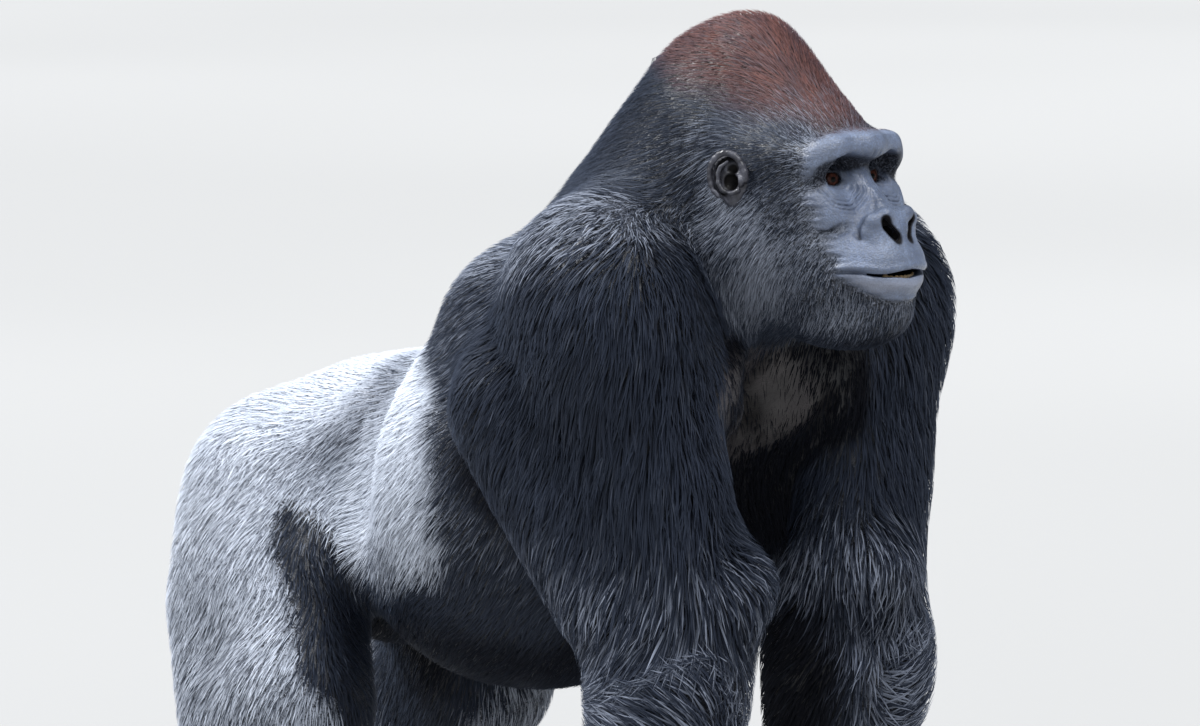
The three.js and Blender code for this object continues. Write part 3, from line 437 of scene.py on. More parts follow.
def bare_at(P, H=None):
    """1 on naked skin: face, palms, soles, fingers and toes. 0 under the coat."""
    H = head.local(P) if H is None else H
    x, y, z = H[:, 0], np.abs(H[:, 1]), H[:, 2]
    xb = np.interp(z, [-190, -150, -139, -130, -120, -108, -88, -70, -48, -12, 20, 34, 46, 60], [100, 96, 86, 68, 48, 38, 31, 21, 9, -2, -6, -2, 0, 0])
    top = 56 - 0.10 * np.maximum(y - 25, 0)
    m = sstep(x - xb + 3 * np.sin(z * 0.23) + 2 * np.sin(z * 0.71 + 1), -13, 11) * sstep(top - z, -5, 6)
    near = np.nonzero((x > -30) & (x < 60) & (y > 35) & (z > -90) & (z < -20))[0]
    if len(near):
        q = np.stack([x[near], y[near], z[near]], 1)
        m[near] *= 1 - 0.75 * np.exp(-((to_line(q, [(30, 52, -52), (16, 60, -56), (0, 70, -58)]) / 6.0) ** 2))
    m = m * (1 - 0.34 * under_brow(H))
    # palms, soles, fingers and toes
    for s in (-1, 1):
        q = hand[s].local(P)
        near = (np.abs(q) < [110, 110, 200]).all(1)
        m = np.maximum(m, near * sstep(q[:, 2] - 0.25 * q[:, 0], 62, 40))
        q = foot[s].local(P)
        near = (np.abs(q[:, 1]) < 120) & (q[:, 0] > -110) & (q[:, 0] < 230) & (q[:, 2] < 140)
        m = np.maximum(m, near * np.maximum(sstep(q[:, 2], 20, 12), sstep(q[:, 0] + 0.5 * q[:, 1] * s, 92, 125)))
    return m.astype(F)


def chest_at(P):
    """1 on the thinly haired skin of the chest."""
    q = (P - np.array([300, -38, 724], F)) / np.array([130, 120, 96], F)
    return sstep(np.sqrt((q * q).sum(1)), 1.12, 0.82).astype(F)


def depth_at(P):
    return lattice(P, slice(4, 5))[:, 0] * (1 - bare_at(P)) * (1 - 0.8 * chest_at(P))


# ------------------------------------------------------------------ folds, lids, nose and mouth
EYE_R = 14.0
EYE_C = {s: np.array([-12.5, s * 34.5, 0.0]) for s in (-1, 1)}
LID_TURN = {s: turned(s * 12, 0, 0) for s in (-1, 1)}


def mouth_line(ay):
    """Height of the line between the lips, which rises to its corners."""
    return np.interp(ay, [0, 14, 24, 33, 42, 52], [-104.2, -104.0, -104.6, -105.4, -104.6, -101.5])


def mouth_gape(ay):
    """Half the height of the opening, widest in front."""
    return np.interp(ay, [0, 10, 20, 30, 40, 46], [5.4, 4.6, 3.4, 2.3, 1.4, 1.1])


NOSE = Group()
for s in (-1, 1):
    ring = [(62, 6, -40, 7.5), (61, 18, -39, 9), (54, 31, -45, 9.5), (48, 35, -57, 9), (51, 30, -70, 8), (59, 18, -77, 6.5), (66, 6, -76, 5)]
    for a, b in zip(ring[:-1], ring[1:]):
        NOSE.con((a[0], s * a[1], a[2]), (b[0], s * b[1], b[2]), a[3], b[3], 5)
HOLE = Group()
HOLE.con2([69, 25, -43], [78, 11.5, -64], 4.3, 5.0, 3)
HOLE.con2([60, 22, -46], [68, 10.5, -62], 5.6, 5.6, 4)
HOLE.con2([44, 15, -50], [58, 10, -58], 5.0, 6.0, 4)
FURROWS = [
    # points for the right-hand side are mirrored; width, depth
    ([(50, 30, -27), (43, 41, -36), (41, 44, -50), (44, 42, -64), (53, 34, -76), (66, 22, -84), (76, 10, -86)], 5.0, 4.0),
    ([(42, 44, -44), (30, 54, -56), (20, 62, -70), (16, 64, -86)], 4.0, 2.0),
    ([(38, 46, -50), (24, 56, -54), (6, 68, -58)], 4.0, 3.4),
    ([(32, 8, -12), (40, 12, -24), (46, 20, -32)], 3.0, 1.6),
    ([(4, 36, -22), (14, 44, -30), (16, 52, -42)], 2.4, 1.2),
    ([(10, 28, -20), (20, 34, -28), (26, 40, -38)], 2.0, 0.9),
    ([(18, 22, -18), (26, 27, -27), (32, 34, -36)], 2.0, 0.9),
    ([(40, 44, -58), (30, 54, -74), (24, 60, -90)], 2.2, 0.9),
    ([(44, 46, -99), (34, 53, -103), (26, 58, -112), (22, 58, -126)], 3.0, 2.4),
    ([(30, 4.5, 20), (34, 5, 34), (28, 6, 50)], 2.0, 1.4),
    ([(26, 14, 22), (28, 16, 36)], 1.6, 0.7),
    ([(8, 8, 12), (20, 9, 2), (30, 10, -10)], 1.8, 0.8),
    ([(84, 0, -76), (86, 0, -96)], 3.0, 0.9),
    ([(30, 12, 47), (24, 40, 46), (6, 62, 38), (-12, 74, 26)], 2.2, 0.9),
    ([(34, 14, 38), (26, 42, 36), (8, 66, 28)], 1.8, 0.6),
    ([(62, 10, -136), (58, 30, -134), (46, 42, -130)], 3.0, 1.0),
]


def face(P, d):
    H = head.local(P)
    idx = np.nonzero((H[:, 0] > -70) & (np.abs(H[:, 1]) < 100) & (H[:, 2] > -190) & (H[:, 2] < 82))[0]
    if not len(idx):
        return d
    h, e = H[idx], d[idx]
    ay = np.abs(h[:, 1])
    # nose
    e = smin(e, NOSE.dist(h, 12), F(6))
    # lips: rolled edges above and below the slit, with the slit between
    w = sstep(h[:, 0], 22, 46)
    zc, gape = mouth_line(ay), mouth_gape(ay)
    dz = h[:, 2] - zc
    upper, lower = dz - gape, -dz - gape
    e = e - w * (2.4 * np.exp(-(((upper - 5.0) / 4.5) ** 2)) + 4.2 * np.exp(-(((lower - 7.5) / 6.5) ** 2)) * np.exp(-((ay / 52) ** 2)))
    e = e + w * 2.6 * np.exp(-(((lower - 20) / 4.5) ** 2)) * np.exp(-((ay / 50) ** 2))
    e = e + 3.0 * np.exp(-((dz / (gape + 1.2)) ** 2)) * sstep(h[:, 0], 18, 40) * sstep(ay, 34, 46)
    e = e + 1.6 * np.exp(-((dz / 1.9) ** 2)) * sstep(h[:, 0], 14, 26) * sstep(ay, 44, 50) * sstep(ay, 62, 54)
    slit = np.maximum(np.maximum(np.abs(dz) - gape, 34 - h[:, 0]), ay - 46.5)
    e = smax(e, -slit.astype(F), F(1.6))
    # nostrils
    e = smax(e, -HOLE.dist(h, 12), F(3))
    for pts, width, deep in FURROWS:
        for s in (-1, 1):
            ln = to_line(h, [(a, s * b, c) for a, b, c in pts])
            e = e + F(deep * (0.5 if pts[0][1] == 0 else 1)) * np.exp(-((ln / width) ** 2))
    # lids and the wrinkles about the eyes
    for s in (-1, 1):
        q = (h - EYE_C[s].astype(F)) @ LID_TURN[s].astype(F)
        x, y, z = q[:, 0], s * q[:, 1], q[:, 2]
        r = np.sqrt((q * q).sum(1))
        e = smin(e, r - F(16.7), F(5))
        flat = np.sqrt(y * y + z * z)
        ang = np.arctan2(z, y)
        front = sstep(x, -8, 2)
        bag = np.exp(-((flat - 27) ** 2) / 80) * sstep(-z, 4, 10) * front
        e = e + bag * (1.05 * np.cos(2 * math.pi * (flat + 0.8 * np.sin(ang * 7 + s)) / 4.8))
        hood = np.exp(-((flat - 22.5) ** 2) / 22) * sstep(z, 2, 8) * front
        e = e + hood * (1.5 * np.cos(2 * math.pi * (flat + 0.5 * np.sin(ang * 5)) / 5.6))
        crow = sstep(y, 15, 20) * np.exp(-((flat - 27) ** 2) / 40) * np.exp(-((z / 12) ** 2)) * sstep(x, -14, -6)
        e = e + crow * 0.5 * np.cos(2 * math.pi * ang * 27 / 4.5 / 2)
        far = np.maximum(x - 9, 0)
        u = np.clip(y / (14.6 + 1.2 * far), -1, 1)
        mid = 0.05 * y + 0.6
        up = (6.6 + 0.25 * far) * np.maximum(1 - u * u, 0) ** 0.7
        dn = (5.6 + 0.25 * far) * np.maximum(1 - u * u, 0) ** 0.8
        open_ = np.maximum(np.maximum(np.maximum(z - mid - up, mid - dn - z), 1.5 - x), np.abs(y) - 15.5)
        e = smax(e, -open_.astype(F), F(1.5))
        e = np.maximum(e, -(r - F(EYE_R + 0.25)))
    d = d.copy()
    d[idx] = e
    return d


BODY_FOLDS = [
    # across the throat, down the breastbone and about each breast; width, depth
    ([(321, -160, 829), (312, -90, 824), (290, -20, 815)], 8, 8),
    ([(290, 16, 800), (259, 10, 782), (250, -14, 757), (247, -14, 735), (240, -8, 705)], 8, 9),
    ([(247, -4, 733), (238, 20, 700), (226, 56, 657)], 4, 4),
    ([(305, 74, 745), (290, 76, 722), (266, 78, 699), (244, 80, 676), (226, 74, 652)], 10, 9),
    ([(290, 30, 812), (300, 64, 806)], 8, 5),
    ([(292, -52, 805), (312, -80, 765), (315, -88, 740), (309, -98, 712), (316, -122, 686)], 8, 3),
]


def skin(P, margin=20):
    d = envelope(P, margin) + depth_at(P)
    idx = np.nonzero(chest_at(P) > 0)[0]
    if len(idx):
        q, e = P[idx], d[idx]
        for pts, width, deep in BODY_FOLDS:
            e = e + deep * np.exp(-((to_line(q, pts) / width) ** 2))
        d[idx] = e
    d = face(P, d)
    for s in (-1, 1):
        q = hand[s].local(P)
        idx = np.nonzero((np.abs(q) < [90, 80, 100]).all(1))[0]
        if len(idx):
            k = q[idx]
            lines = 0.5 * np.cos(2 * math.pi * (k[:, 2] + 0.4 * k[:, 0]) / 5.5)
            d[idx] = d[idx] + lines * np.exp(-(((k[:, 2] - 48) / 10) ** 2))
    return smax(d, -P[:, 2], F(2.5))


# ------------------------------------------------------------------ meshing a field
def surface(field, lo, hi, h, block=8, warp=None, lip=1.3, margin=30):
    """Surface nets on a grid that may be bent by warp. Gives vertices and quads."""
    lo, hi = np.array(lo, float), np.array(hi, float)
    n = np.ceil((hi - lo) / h).astype(int) + 1
    nb = np.ceil((n - 1) / block).astype(int)
    n = nb * block + 1
    place = (lambda g: (lo + g * h)) if warp is None else (lambda g: warp(lo + g * h))
    cx = [(np.arange(nb[i]) + 0.5) * block for i in range(3)]
    C = np.stack(np.meshgrid(*cx, indexing="ij"), -1).reshape(-1, 3)
    Wb = place(C)
    rad = np.maximum(np.linalg.norm(place(C + block / 2) - Wb, axis=1), np.linalg.norm(place(C - block / 2) - Wb, axis=1))
    dc = field(Wb.astype(F), float(rad.max()) * 1.3 + margin)
    near = np.abs(dc) < rad * lip
    D = np.empty(tuple(n), F)
    sign = np.where(dc < 0, -1e3, 1e3).astype(F).reshape(nb)
    D[:-1, :-1, :-1] = np.repeat(np.repeat(np.repeat(sign, block, 0), block, 1), block, 2)
    D[-1] = 1e3
    D[:, -1] = 1e3
    D[:, :, -1] = 1e3
    bi = np.stack(np.unravel_index(np.nonzero(near)[0], nb), 1) * block
    loc = np.stack(np.meshgrid(*[np.arange(block + 1)] * 3, indexing="ij"), -1).reshape(-1, 3)
    pts = (bi[:, None, :] + loc[None]).reshape(-1, 3)
    lin = np.unique((pts[:, 0] * n[1] + pts[:, 1]) * n[2] + pts[:, 2])
    pi = np.stack(np.unravel_index(lin, n), 1)
    vals = np.empty(len(lin), F)
    for i in range(0, len(lin), 400000):
        vals[i : i + 400000] = field(place(pi[i : i + 400000].astype(float)).astype(F), margin)
    D.reshape(-1)[lin] = vals
    inside = D < 0
    c = [inside[i : n[0] - 1 + i, j : n[1] - 1 + j, k : n[2] - 1 + k] for i in (0, 1) for j in (0, 1) for k in (0, 1)]
    some, every = c[0].copy(), c[0].copy()
    for x in c[1:]:
        some |= x
        every &= x
    ai = np.nonzero(some & ~every)
    m = len(ai[0])
    cell = np.full(some.shape, -1, np.int32)
    cell[ai] = np.arange(m)
    A = np.stack(ai, 1)
    cor = [(i, j, k) for i in (0, 1) for j in (0, 1) for k in (0, 1)]
    val = np.stack([D[A[:, 0] + i, A[:, 1] + j, A[:, 2] + k] for i, j, k in cor], 1)
    acc, cnt = np.zeros((m, 3)), np.zeros(m)
    for a in range(8):
        for b in range(a + 1, 8):
            da = np.array(cor[b]) - np.array(cor[a])
            if np.abs(da).sum() != 1:
                continue
            va, vb = val[:, a], val[:, b]
            x = (va < 0) != (vb < 0)
            t = np.clip(np.where(x, va / np.where(x, va - vb, 1), 0), 0.02, 0.98)
            acc += (np.array(cor[a]) + t[:, None] * da) * x[:, None]
            cnt += x
    V = place(A + acc / cnt[:, None])
    quads = []
    for ax in range(3):
        s0, s1 = [slice(None)] * 3, [slice(None)] * 3
        s0[ax], s1[ax] = slice(0, -1), slice(1, None)
        ii = np.stack(np.nonzero(inside[tuple(s0)] != inside[tuple(s1)]), 1)
        u, v = (ax + 1) % 3, (ax + 2) % 3
        ii = ii[(ii[:, u] > 0) & (ii[:, v] > 0) & (ii[:, u] < cell.shape[u]) & (ii[:, v] < cell.shape[v])]

        def at(du, dv):
            q = ii.copy()
            q[:, u] += du
            q[:, v] += dv
            return cell[q[:, 0], q[:, 1], q[:, 2]]

        q = np.stack([at(-1, -1), at(0, -1), at(0, 0), at(-1, 0)], 1)
        flip = ~inside[ii[:, 0], ii[:, 1], ii[:, 2]]
        q[flip] = q[flip][:, ::-1]
        quads.append(q)
    return V, np.concatenate(quads)


TETRA = np.array([[1, -1, -1], [-1, -1, 1], [-1, 1, -1], [1, 1, 1]], F)


def gradient(field, P, e=1.0):
    out = np.zeros((len(P), 3))
    for k in TETRA:
        out += k * field((P + k * F(e)).astype(F), 20)[:, None]
    return out / 4 / e


def snap(field, V, steps=2, most=3.0, e=1.0):
    V = V.astype(float)
    for _ in range(steps):
        d = field(V.astype(F), 20)
        g = gradient(field, V.astype(F), e)
        mv = -(d / np.maximum((g * g).sum(1), 0.1))[:, None] * g
        L = np.linalg.norm(mv, axis=1, keepdims=True)
        V += mv * np.minimum(1, most / np.maximum(L, 1e-9))
    return V, unit(g)


def row(P):
    """Animal axes in millimetres to the row frame in metres."""
    P = np.asarray(P, float)
    return np.stack([P[:, 1] + SHIFT_X, -P[:, 0] + SHIFT_Y, P[:, 2]], 1) / 1000


def turn_row(N):
    """Directions from the animal's axes to the row frame."""
    return np.stack([N[:, 1], -N[:, 0], N[:, 2]], 1).astype(F)


def make_mesh(name, V, faces, smooth=True, floats=None, uv=None, normals=None):
    """faces is an array of quads or triangles, or a list of such arrays."""
    me = bpy.data.meshes.new(name)
    sets = faces if isinstance(faces, list) else [faces]
    me.vertices.add(len(V))
    me.vertices.foreach_set("co", np.ascontiguousarray(V, dtype=F).ravel())
    loops = np.concatenate([np.asarray(f).ravel() for f in sets]).astype(np.int32)
    sizes = np.concatenate([np.full(len(f), np.asarray(f).shape[1]) for f in sets]).astype(np.int32)
    me.loops.add(len(loops))
    me.loops.foreach_set("vertex_index", loops)
    me.polygons.add(len(sizes))
    me.polygons.foreach_set("loop_start", np.concatenate([[0], np.cumsum(sizes)[:-1]]).astype(np.int32))
    me.update(calc_edges=True)
    if smooth:
        me.polygons.foreach_set("use_smooth", np.ones(len(sizes), bool))
    for key, val in (floats or {}).items():
        a = me.attributes.new(key, "FLOAT", "POINT")
        a.data.foreach_set("value", np.ascontiguousarray(val, dtype=F))
    if uv is not None:
        layer = me.uv_layers.new(name="OFBake")
        layer.data.foreach_set("uv", np.ascontiguousarray(uv[loops], dtype=F).ravel())
    me.validate()
    ob = bpy.data.objects.new(name, me)
    bpy.context.scene.collection.objects.link(ob)
    if normals is not None:
        me.normals_split_custom_set_from_vertices(normals)
    return ob


# ------------------------------------------------------------------ markings, shared by skin and coat
def waves(P, length, seed, n=10, grad=False):
    """Smooth noise of about the given wavelength, from seeded sine waves."""
    r = np.random.default_rng(seed)
    k = unit(r.normal(size=(n, 3))) * (2 * math.pi / length) * r.uniform(0.7, 1.4, (n, 1))
    ph = r.uniform(0, 2 * math.pi, n)
    a = P @ k.T.astype(P.dtype) + ph.astype(P.dtype)
    if grad:
        return np.cos(a) @ k.astype(P.dtype) * (1 / math.sqrt(n))
    return np.sin(a).sum(1) / math.sqrt(n)


def marks(P):
    """Where the coat is silver (share of pale hairs and how pale), chestnut, or bare skin, with painted shade and
    painted sheen worked into the share and tone.
    """
    P = P.astype(F)
    f, l, u = P[:, 0], P[:, 1], P[:, 2]
    H = head.local(P)
    n1 = waves(P, 90, 5)
    n2 = waves(P, 34, 6)
    _, got = envelope(P, 60, parts=True)
    on_arm = np.minimum(got["arm", -1], got["arm", 1])
    on_leg = np.minimum(got["leg", -1], got["leg", 1])
    on_trunk, on_head = got["trunk"], got["head"]
    # silver saddle: behind the shoulders and off the arms
    edge = np.interp(u, [480, 505, 526, 552, 580, 616, 639, 674, 700, 731, 764, 783, 830], [-170, -120, -62, -26, -20, -26, -30, -32, -38, -48, -62, -84, -130]) + 9 * n1 + 5 * n2
    saddle = sstep(edge - f, -44, 44)
    saddle *= sstep(on_arm - np.minimum(on_trunk, on_leg), -25, 15)
    low = sstep(u + 0.30 * (f + 100) * (f > -100) + 12 * n1, 430, 590)
    thigh = sstep(on_trunk - on_leg, -30, 30)
    pale = saddle * ((0.98 - 0.20 * sstep(-f, 260, 380)) * low * (1 - thigh) + thigh * (0.58 + 0.20 * sstep(u, 250, 600)))
    # the tone peaks near the saddle's front edge: a painted highlight where the flank turns to the light
    tone = saddle * (0.84 + 0.16 * np.exp(-(((f + 130) / 100) ** 2))) * (0.45 + 0.55 * low) * (1 - thigh) + thigh * (0.60 + 0.30 * sstep(u, 300, 640))
    pale = np.maximum(pale, 0.25 * sstep(edge - f, -35, 40) * saddle)
    # painted shade: bluer and darker in the hollow of the waist, between the saddle and the hip, and in a band just
    # in front of it
    waist_shade = np.exp(-(((f + 268 - 0.55 * (u - 700)) / 34) ** 2)) * sstep(800 - u, 0, 70) * sstep(u, 610, 670)
    band = np.exp(-(((f + 205 + 0.35 * (u - 700)) / 46) ** 2)) * sstep(805 - u, 0, 60) * (1 - thigh)
    tone = tone * (1 - 0.52 * waist_shade) * (1 - 0.30 * band)
    pale = pale * (1 - 0.26 * waist_shade) * (1 - 0.10 * band)
    # the front and inside of the thighs and the groin stay black: black hair there, darkened further as painted shade
    for s in (-1, 1):
        t_ = np.clip((HIP[s][2] - u) / (HIP[s][2] - KNEE[s][2]), 0, 1)
        fa = HIP[s][0] + t_ * (KNEE[s][0] - HIP[s][0])
        la = abs(HIP[s][1]) + 14 + t_ * (abs(KNEE[s][1]) - abs(HIP[s][1]) - 14)
        off = np.interp(u, [355, 398, 448, 503, 547, 584, 640], [62, 22, 8, -5, -14, 4, 26]) - (110 if s > 0 else 0)
        front = sstep((f - fa) - (s * l - la) - off + 6 * n1, -14, 22) * thigh * sstep(u, 285, 345) * sstep(np.minimum(568 - 0.9 * (f + 295), 590) - u, -15, 16) * (l * s > 0)
        if s > 0:
            front = front * (1 - 0.8 * sstep(f - fa, 40, 85)) * sstep(la + 24 + 12 * n1 - l, -30, 40)
            front = np.maximum(front, 0.8 * sstep(fa + 30 - f, -25, 30) * sstep(la - 12 + 10 * n1 - l, -26, 30) * thigh * sstep(u, 210, 330) * sstep(590 + 14 * n1 - u, 0, 130) * (l > 0))
        pale = pale * (1 - 0.94 * front)
        tone = tone * (1 - 0.7 * front)
    # painted shade between the thighs and under the body, over their black hair
    inner_shade = sstep(112 - np.abs(l), -20, 30) * sstep(535 - u, -20, 60)
    pale *= 1 - 0.9 * inner_shade
    # grizzled neck, cheeks and lower flank
    hd = sstep(on_trunk - on_head, -40, 30) * sstep(on_arm - on_head, -10, 40)
    back_ = sstep(H[:, 0], -150, -230)
    side = hd * (0.40 + 0.10 * n1 + 0.04 * back_) * (1 - 0.78 * sstep(-H[:, 0], 130, 185) * sstep(H[:, 2], -75, -25)) * (1 + 0.5 * np.exp(-(((H[:, 0] + 40) / 52) ** 2)) * sstep(-H[:, 2], 0, 40)) * sstep(150 + 0.2 * H[:, 0] - H[:, 2], 0, 90)
    temple = np.exp(-(((H[:, 0] + 55) / 36) ** 2) - (((H[:, 2] - 38) / 34) ** 2))
    side = side * (1 - 0.75 * temple)
    pale = np.where(side > pale, side, pale)
    tone = np.where(hd > 0.3, 0.19 + 0.05 * n1 + 0.06 * back_ - 0.12 * temple + 0.05 * np.exp(-(((H[:, 0] + 40) / 52) ** 2)) * sstep(-H[:, 2], 0, 40), tone)
    belly = (1 - hd) * sstep(on_arm - on_trunk, 0, 30) * 0.26 * sstep(u, 440, 600)
    pale = np.maximum(pale, belly)
    # painted sheen: paler hair on the tops of the shoulders and back, where the light from above falls
    top_sheen = (1 - hd) * sstep(u - 0.25 * f, 832, 892)
    pale = np.maximum(pale, 0.50 * top_sheen)
    tone = np.maximum(tone, 0.20 * top_sheen)
    lower_arm = np.maximum(sstep(on_trunk - on_arm, 0, 30) * sstep(u, 700, 540) * 0.33, 0.07 * (1 - hd)) * np.where(l > 0, 1.4, 1.0)
    pale = np.maximum(pale, lower_arm)
    tone = np.maximum(tone, 0.14)
    # painted shade: the deepest black on the chest, belly, groin, armpits and throat, where shade falls; these hairs
    # are matt too
    tr = (1 - hd) * sstep(on_arm - on_trunk, -12, 10)
    deep = np.maximum(sstep(u + 0.12 * f, 505, 420), sstep(f, 150, 205) * sstep(850 - u, 0, 24))
    deep = np.maximum(deep, 0.85 * sstep(on_arm, 55, 8) * sstep(730 - u, 0, 60)) * tr * (1 - thigh)
    deep = np.maximum(deep, inner_shade)
    throat_shade = hd * sstep(-H[:, 2], 150, 185) * sstep(H[:, 0], -200, -150)
    deep = np.maximum(deep, 0.8 * throat_shade)
    pale = pale * (1 - 0.85 * deep)
    tone = tone * (1 - deep)
    # chestnut crown
    zt = 52 + 0.33 * np.maximum(-H[:, 0] - 15, 0) + 6 * n1 + 4 * n2
    red = hd * sstep(H[:, 2] - zt, -16, 26) * sstep(H[:, 0], -300, -205)
    red = red * (0.85 + 0.15 * n2)
    return dict(pale=np.clip(pale, 0, 1), tone=np.clip(tone, 0, 1), red=np.clip(red, 0, 1), bare=bare_at(P, H), chest=chest_at(P))


# ------------------------------------------------------------------ materials
class Tree:
    """A few short names for building node trees."""

    def __init__(self, name):
        self.m = bpy.data.materials.new(name)
        self.m.use_nodes = True
        self.t = self.m.node_tree
        self.b = self.t.nodes["Principled BSDF"]

    def node(self, kind, **kw):
        n = self.t.nodes.new(kind)
        for k, v in kw.items():
            setattr(n, k, v)
        return n

    def put(self, sock, v):
        if hasattr(v, "is_output"):
            self.t.links.new(v, sock)
        else:
            sock.default_value = v

    def attr(self, name):
        return self.node("ShaderNodeAttribute", attribute_name=name).outputs["Fac"]

    def math(self, op, a, b=0.0, c=0.0, clamp=False):
        n = self.node("ShaderNodeMath", operation=op, use_clamp=clamp)
        for s, v in zip(n.inputs, (a, b, c)):
            self.put(s, v)
        return n.outputs[0]

    def ramp(self, v, lo, hi, a=0.0, b=1.0):
        n = self.node("ShaderNodeMapRange", interpolation_type="SMOOTHSTEP")
        for s, x in zip(("Value", "From Min", "From Max", "To Min", "To Max"), (v, lo, hi, a, b)):
            self.put(n.inputs[s], x)
        return n.outputs[0]

    def mix(self, fac, a, b, blend="MIX"):
        n = self.node("ShaderNodeMix", data_type="RGBA", blend_type=blend)
        self.put(n.inputs[0], fac)
        for s, v in ((n.inputs[6], a), (n.inputs[7], b)):
            self.put(s, (*v, 1) if isinstance(v, tuple) and len(v) == 3 else v)
        return n.outputs[2]

    def noise(self, scale, detail=2.0, rough=0.5, coord=None, stretch=None):
        n = self.node("ShaderNodeTexNoise")
        n.inputs["Scale"].default_value = scale
        n.inputs["Detail"].default_value = detail
        n.inputs["Roughness"].default_value = rough
        self.t.links.new(coord or self.where(stretch), n.inputs["Vector"])
        return n.outputs["Fac"]

    def cells(self, scale, feature="F1", stretch=None):
        n = self.node("ShaderNodeTexVoronoi", feature=feature)
        n.inputs["Scale"].default_value = scale
        self.t.links.new(self.where(stretch), n.inputs["Vector"])
        return n.outputs["Distance"]

    def where(self, stretch=None):
        n = self.node("ShaderNodeTexCoord").outputs["Object"]
        if stretch:
            m = self.node("ShaderNodeMapping")
            m.inputs["Scale"].default_value = stretch
            self.t.links.new(n, m.inputs["Vector"])
            n = m.outputs[0]
        return n

    def bump(self, height, strength, distance, normal=None):
        n = self.node("ShaderNodeBump")
        n.inputs["Strength"].default_value = strength
        n.inputs["Distance"].default_value = distance
        self.put(n.inputs["Height"], height)
        if normal is not None:
            self.put(n.inputs["Normal"], normal)
        return n.outputs[0]

    def set(self, **kw):
        for k, v in kw.items():
            self.put(self.b.inputs[k.replace("_", " ")], v)


# the blue cast of the black, pale and silver tips is painted sheen of blue light from above
BLACK_R, BLACK_T = (0.006, 0.007, 0.010), (0.021, 0.027, 0.043)
# painted shade: the near-black that the hair takes where shade falls
PAINTED_SHADE_T = (0.008, 0.008, 0.010)
PALE_R, PALE_T = (0.046, 0.053, 0.071), (0.128, 0.149, 0.202)
SILVER_R, SILVER_T = (0.395, 0.44, 0.51), (0.775, 0.85, 0.95)
RED_R, RED_T = (0.045, 0.018, 0.014), (0.155, 0.062, 0.044)


def coat_colour(t, rnd, tip):
    """Colour of a hair from the markings, its own random number and the way along it."""
    pale, tone, red = t.attr("pale"), t.attr("tone"), t.attr("red")
    fac = t.ramp(t.math("SUBTRACT", t.math("MULTIPLY", pale, 1.45), rnd), -0.05, 0.5)
    # black hair goes to painted shade where the tone falls to 0
    black = t.mix(tip, BLACK_R, t.mix(t.ramp(tone, 0.0, 0.14), PAINTED_SHADE_T, BLACK_T))
    low = t.mix(tip, PALE_R, PALE_T)
    high = t.mix(tip, SILVER_R, SILVER_T)
    light = t.mix(tone, low, high)
    col = t.mix(fac, black, light)
    rust = t.mix(tip, RED_R, RED_T)
    col = t.mix(t.math("MULTIPLY", red, t.ramp(rnd, 0.0, 0.5, 0.55, 1.0)), col, rust)
    patch = t.noise(9.0, 2.0)
    return t.mix(1.0, col, t.mix(patch, (0.72, 0.72, 0.74), (1.25, 1.22, 1.2)), "MULTIPLY")


def coat_material():
    t = Tree("coat")
    rnd, tip = t.attr("rnd"), t.attr("tip")
    col = coat_colour(t, rnd, tip)
    col = t.mix(1.0, col, t.mix(t.math("FRACT", t.math("MULTIPLY", rnd, 7.31)), (0.80, 0.80, 0.81), (1.16, 1.15, 1.15)), "MULTIPLY")
    t.set(Base_Color=col, Roughness=t.ramp(rnd, 0, 1, 0.50, 0.68), Sheen_Weight=0.06, Sheen_Roughness=0.4)
    t.b.inputs["Sheen Tint"].default_value = (0.50, 0.66, 1.0, 1)
    t.put(t.b.inputs["Specular IOR Level"], t.ramp(t.attr("tone"), 0.0, 0.14, 0.03, 0.24))
    t.b.inputs["Specular Tint"].default_value = (0.66, 0.78, 1.0, 1)
    t.set(Normal=t.bump(t.noise(900.0, 1.0), 0.3, 0.0006))
    return t.m


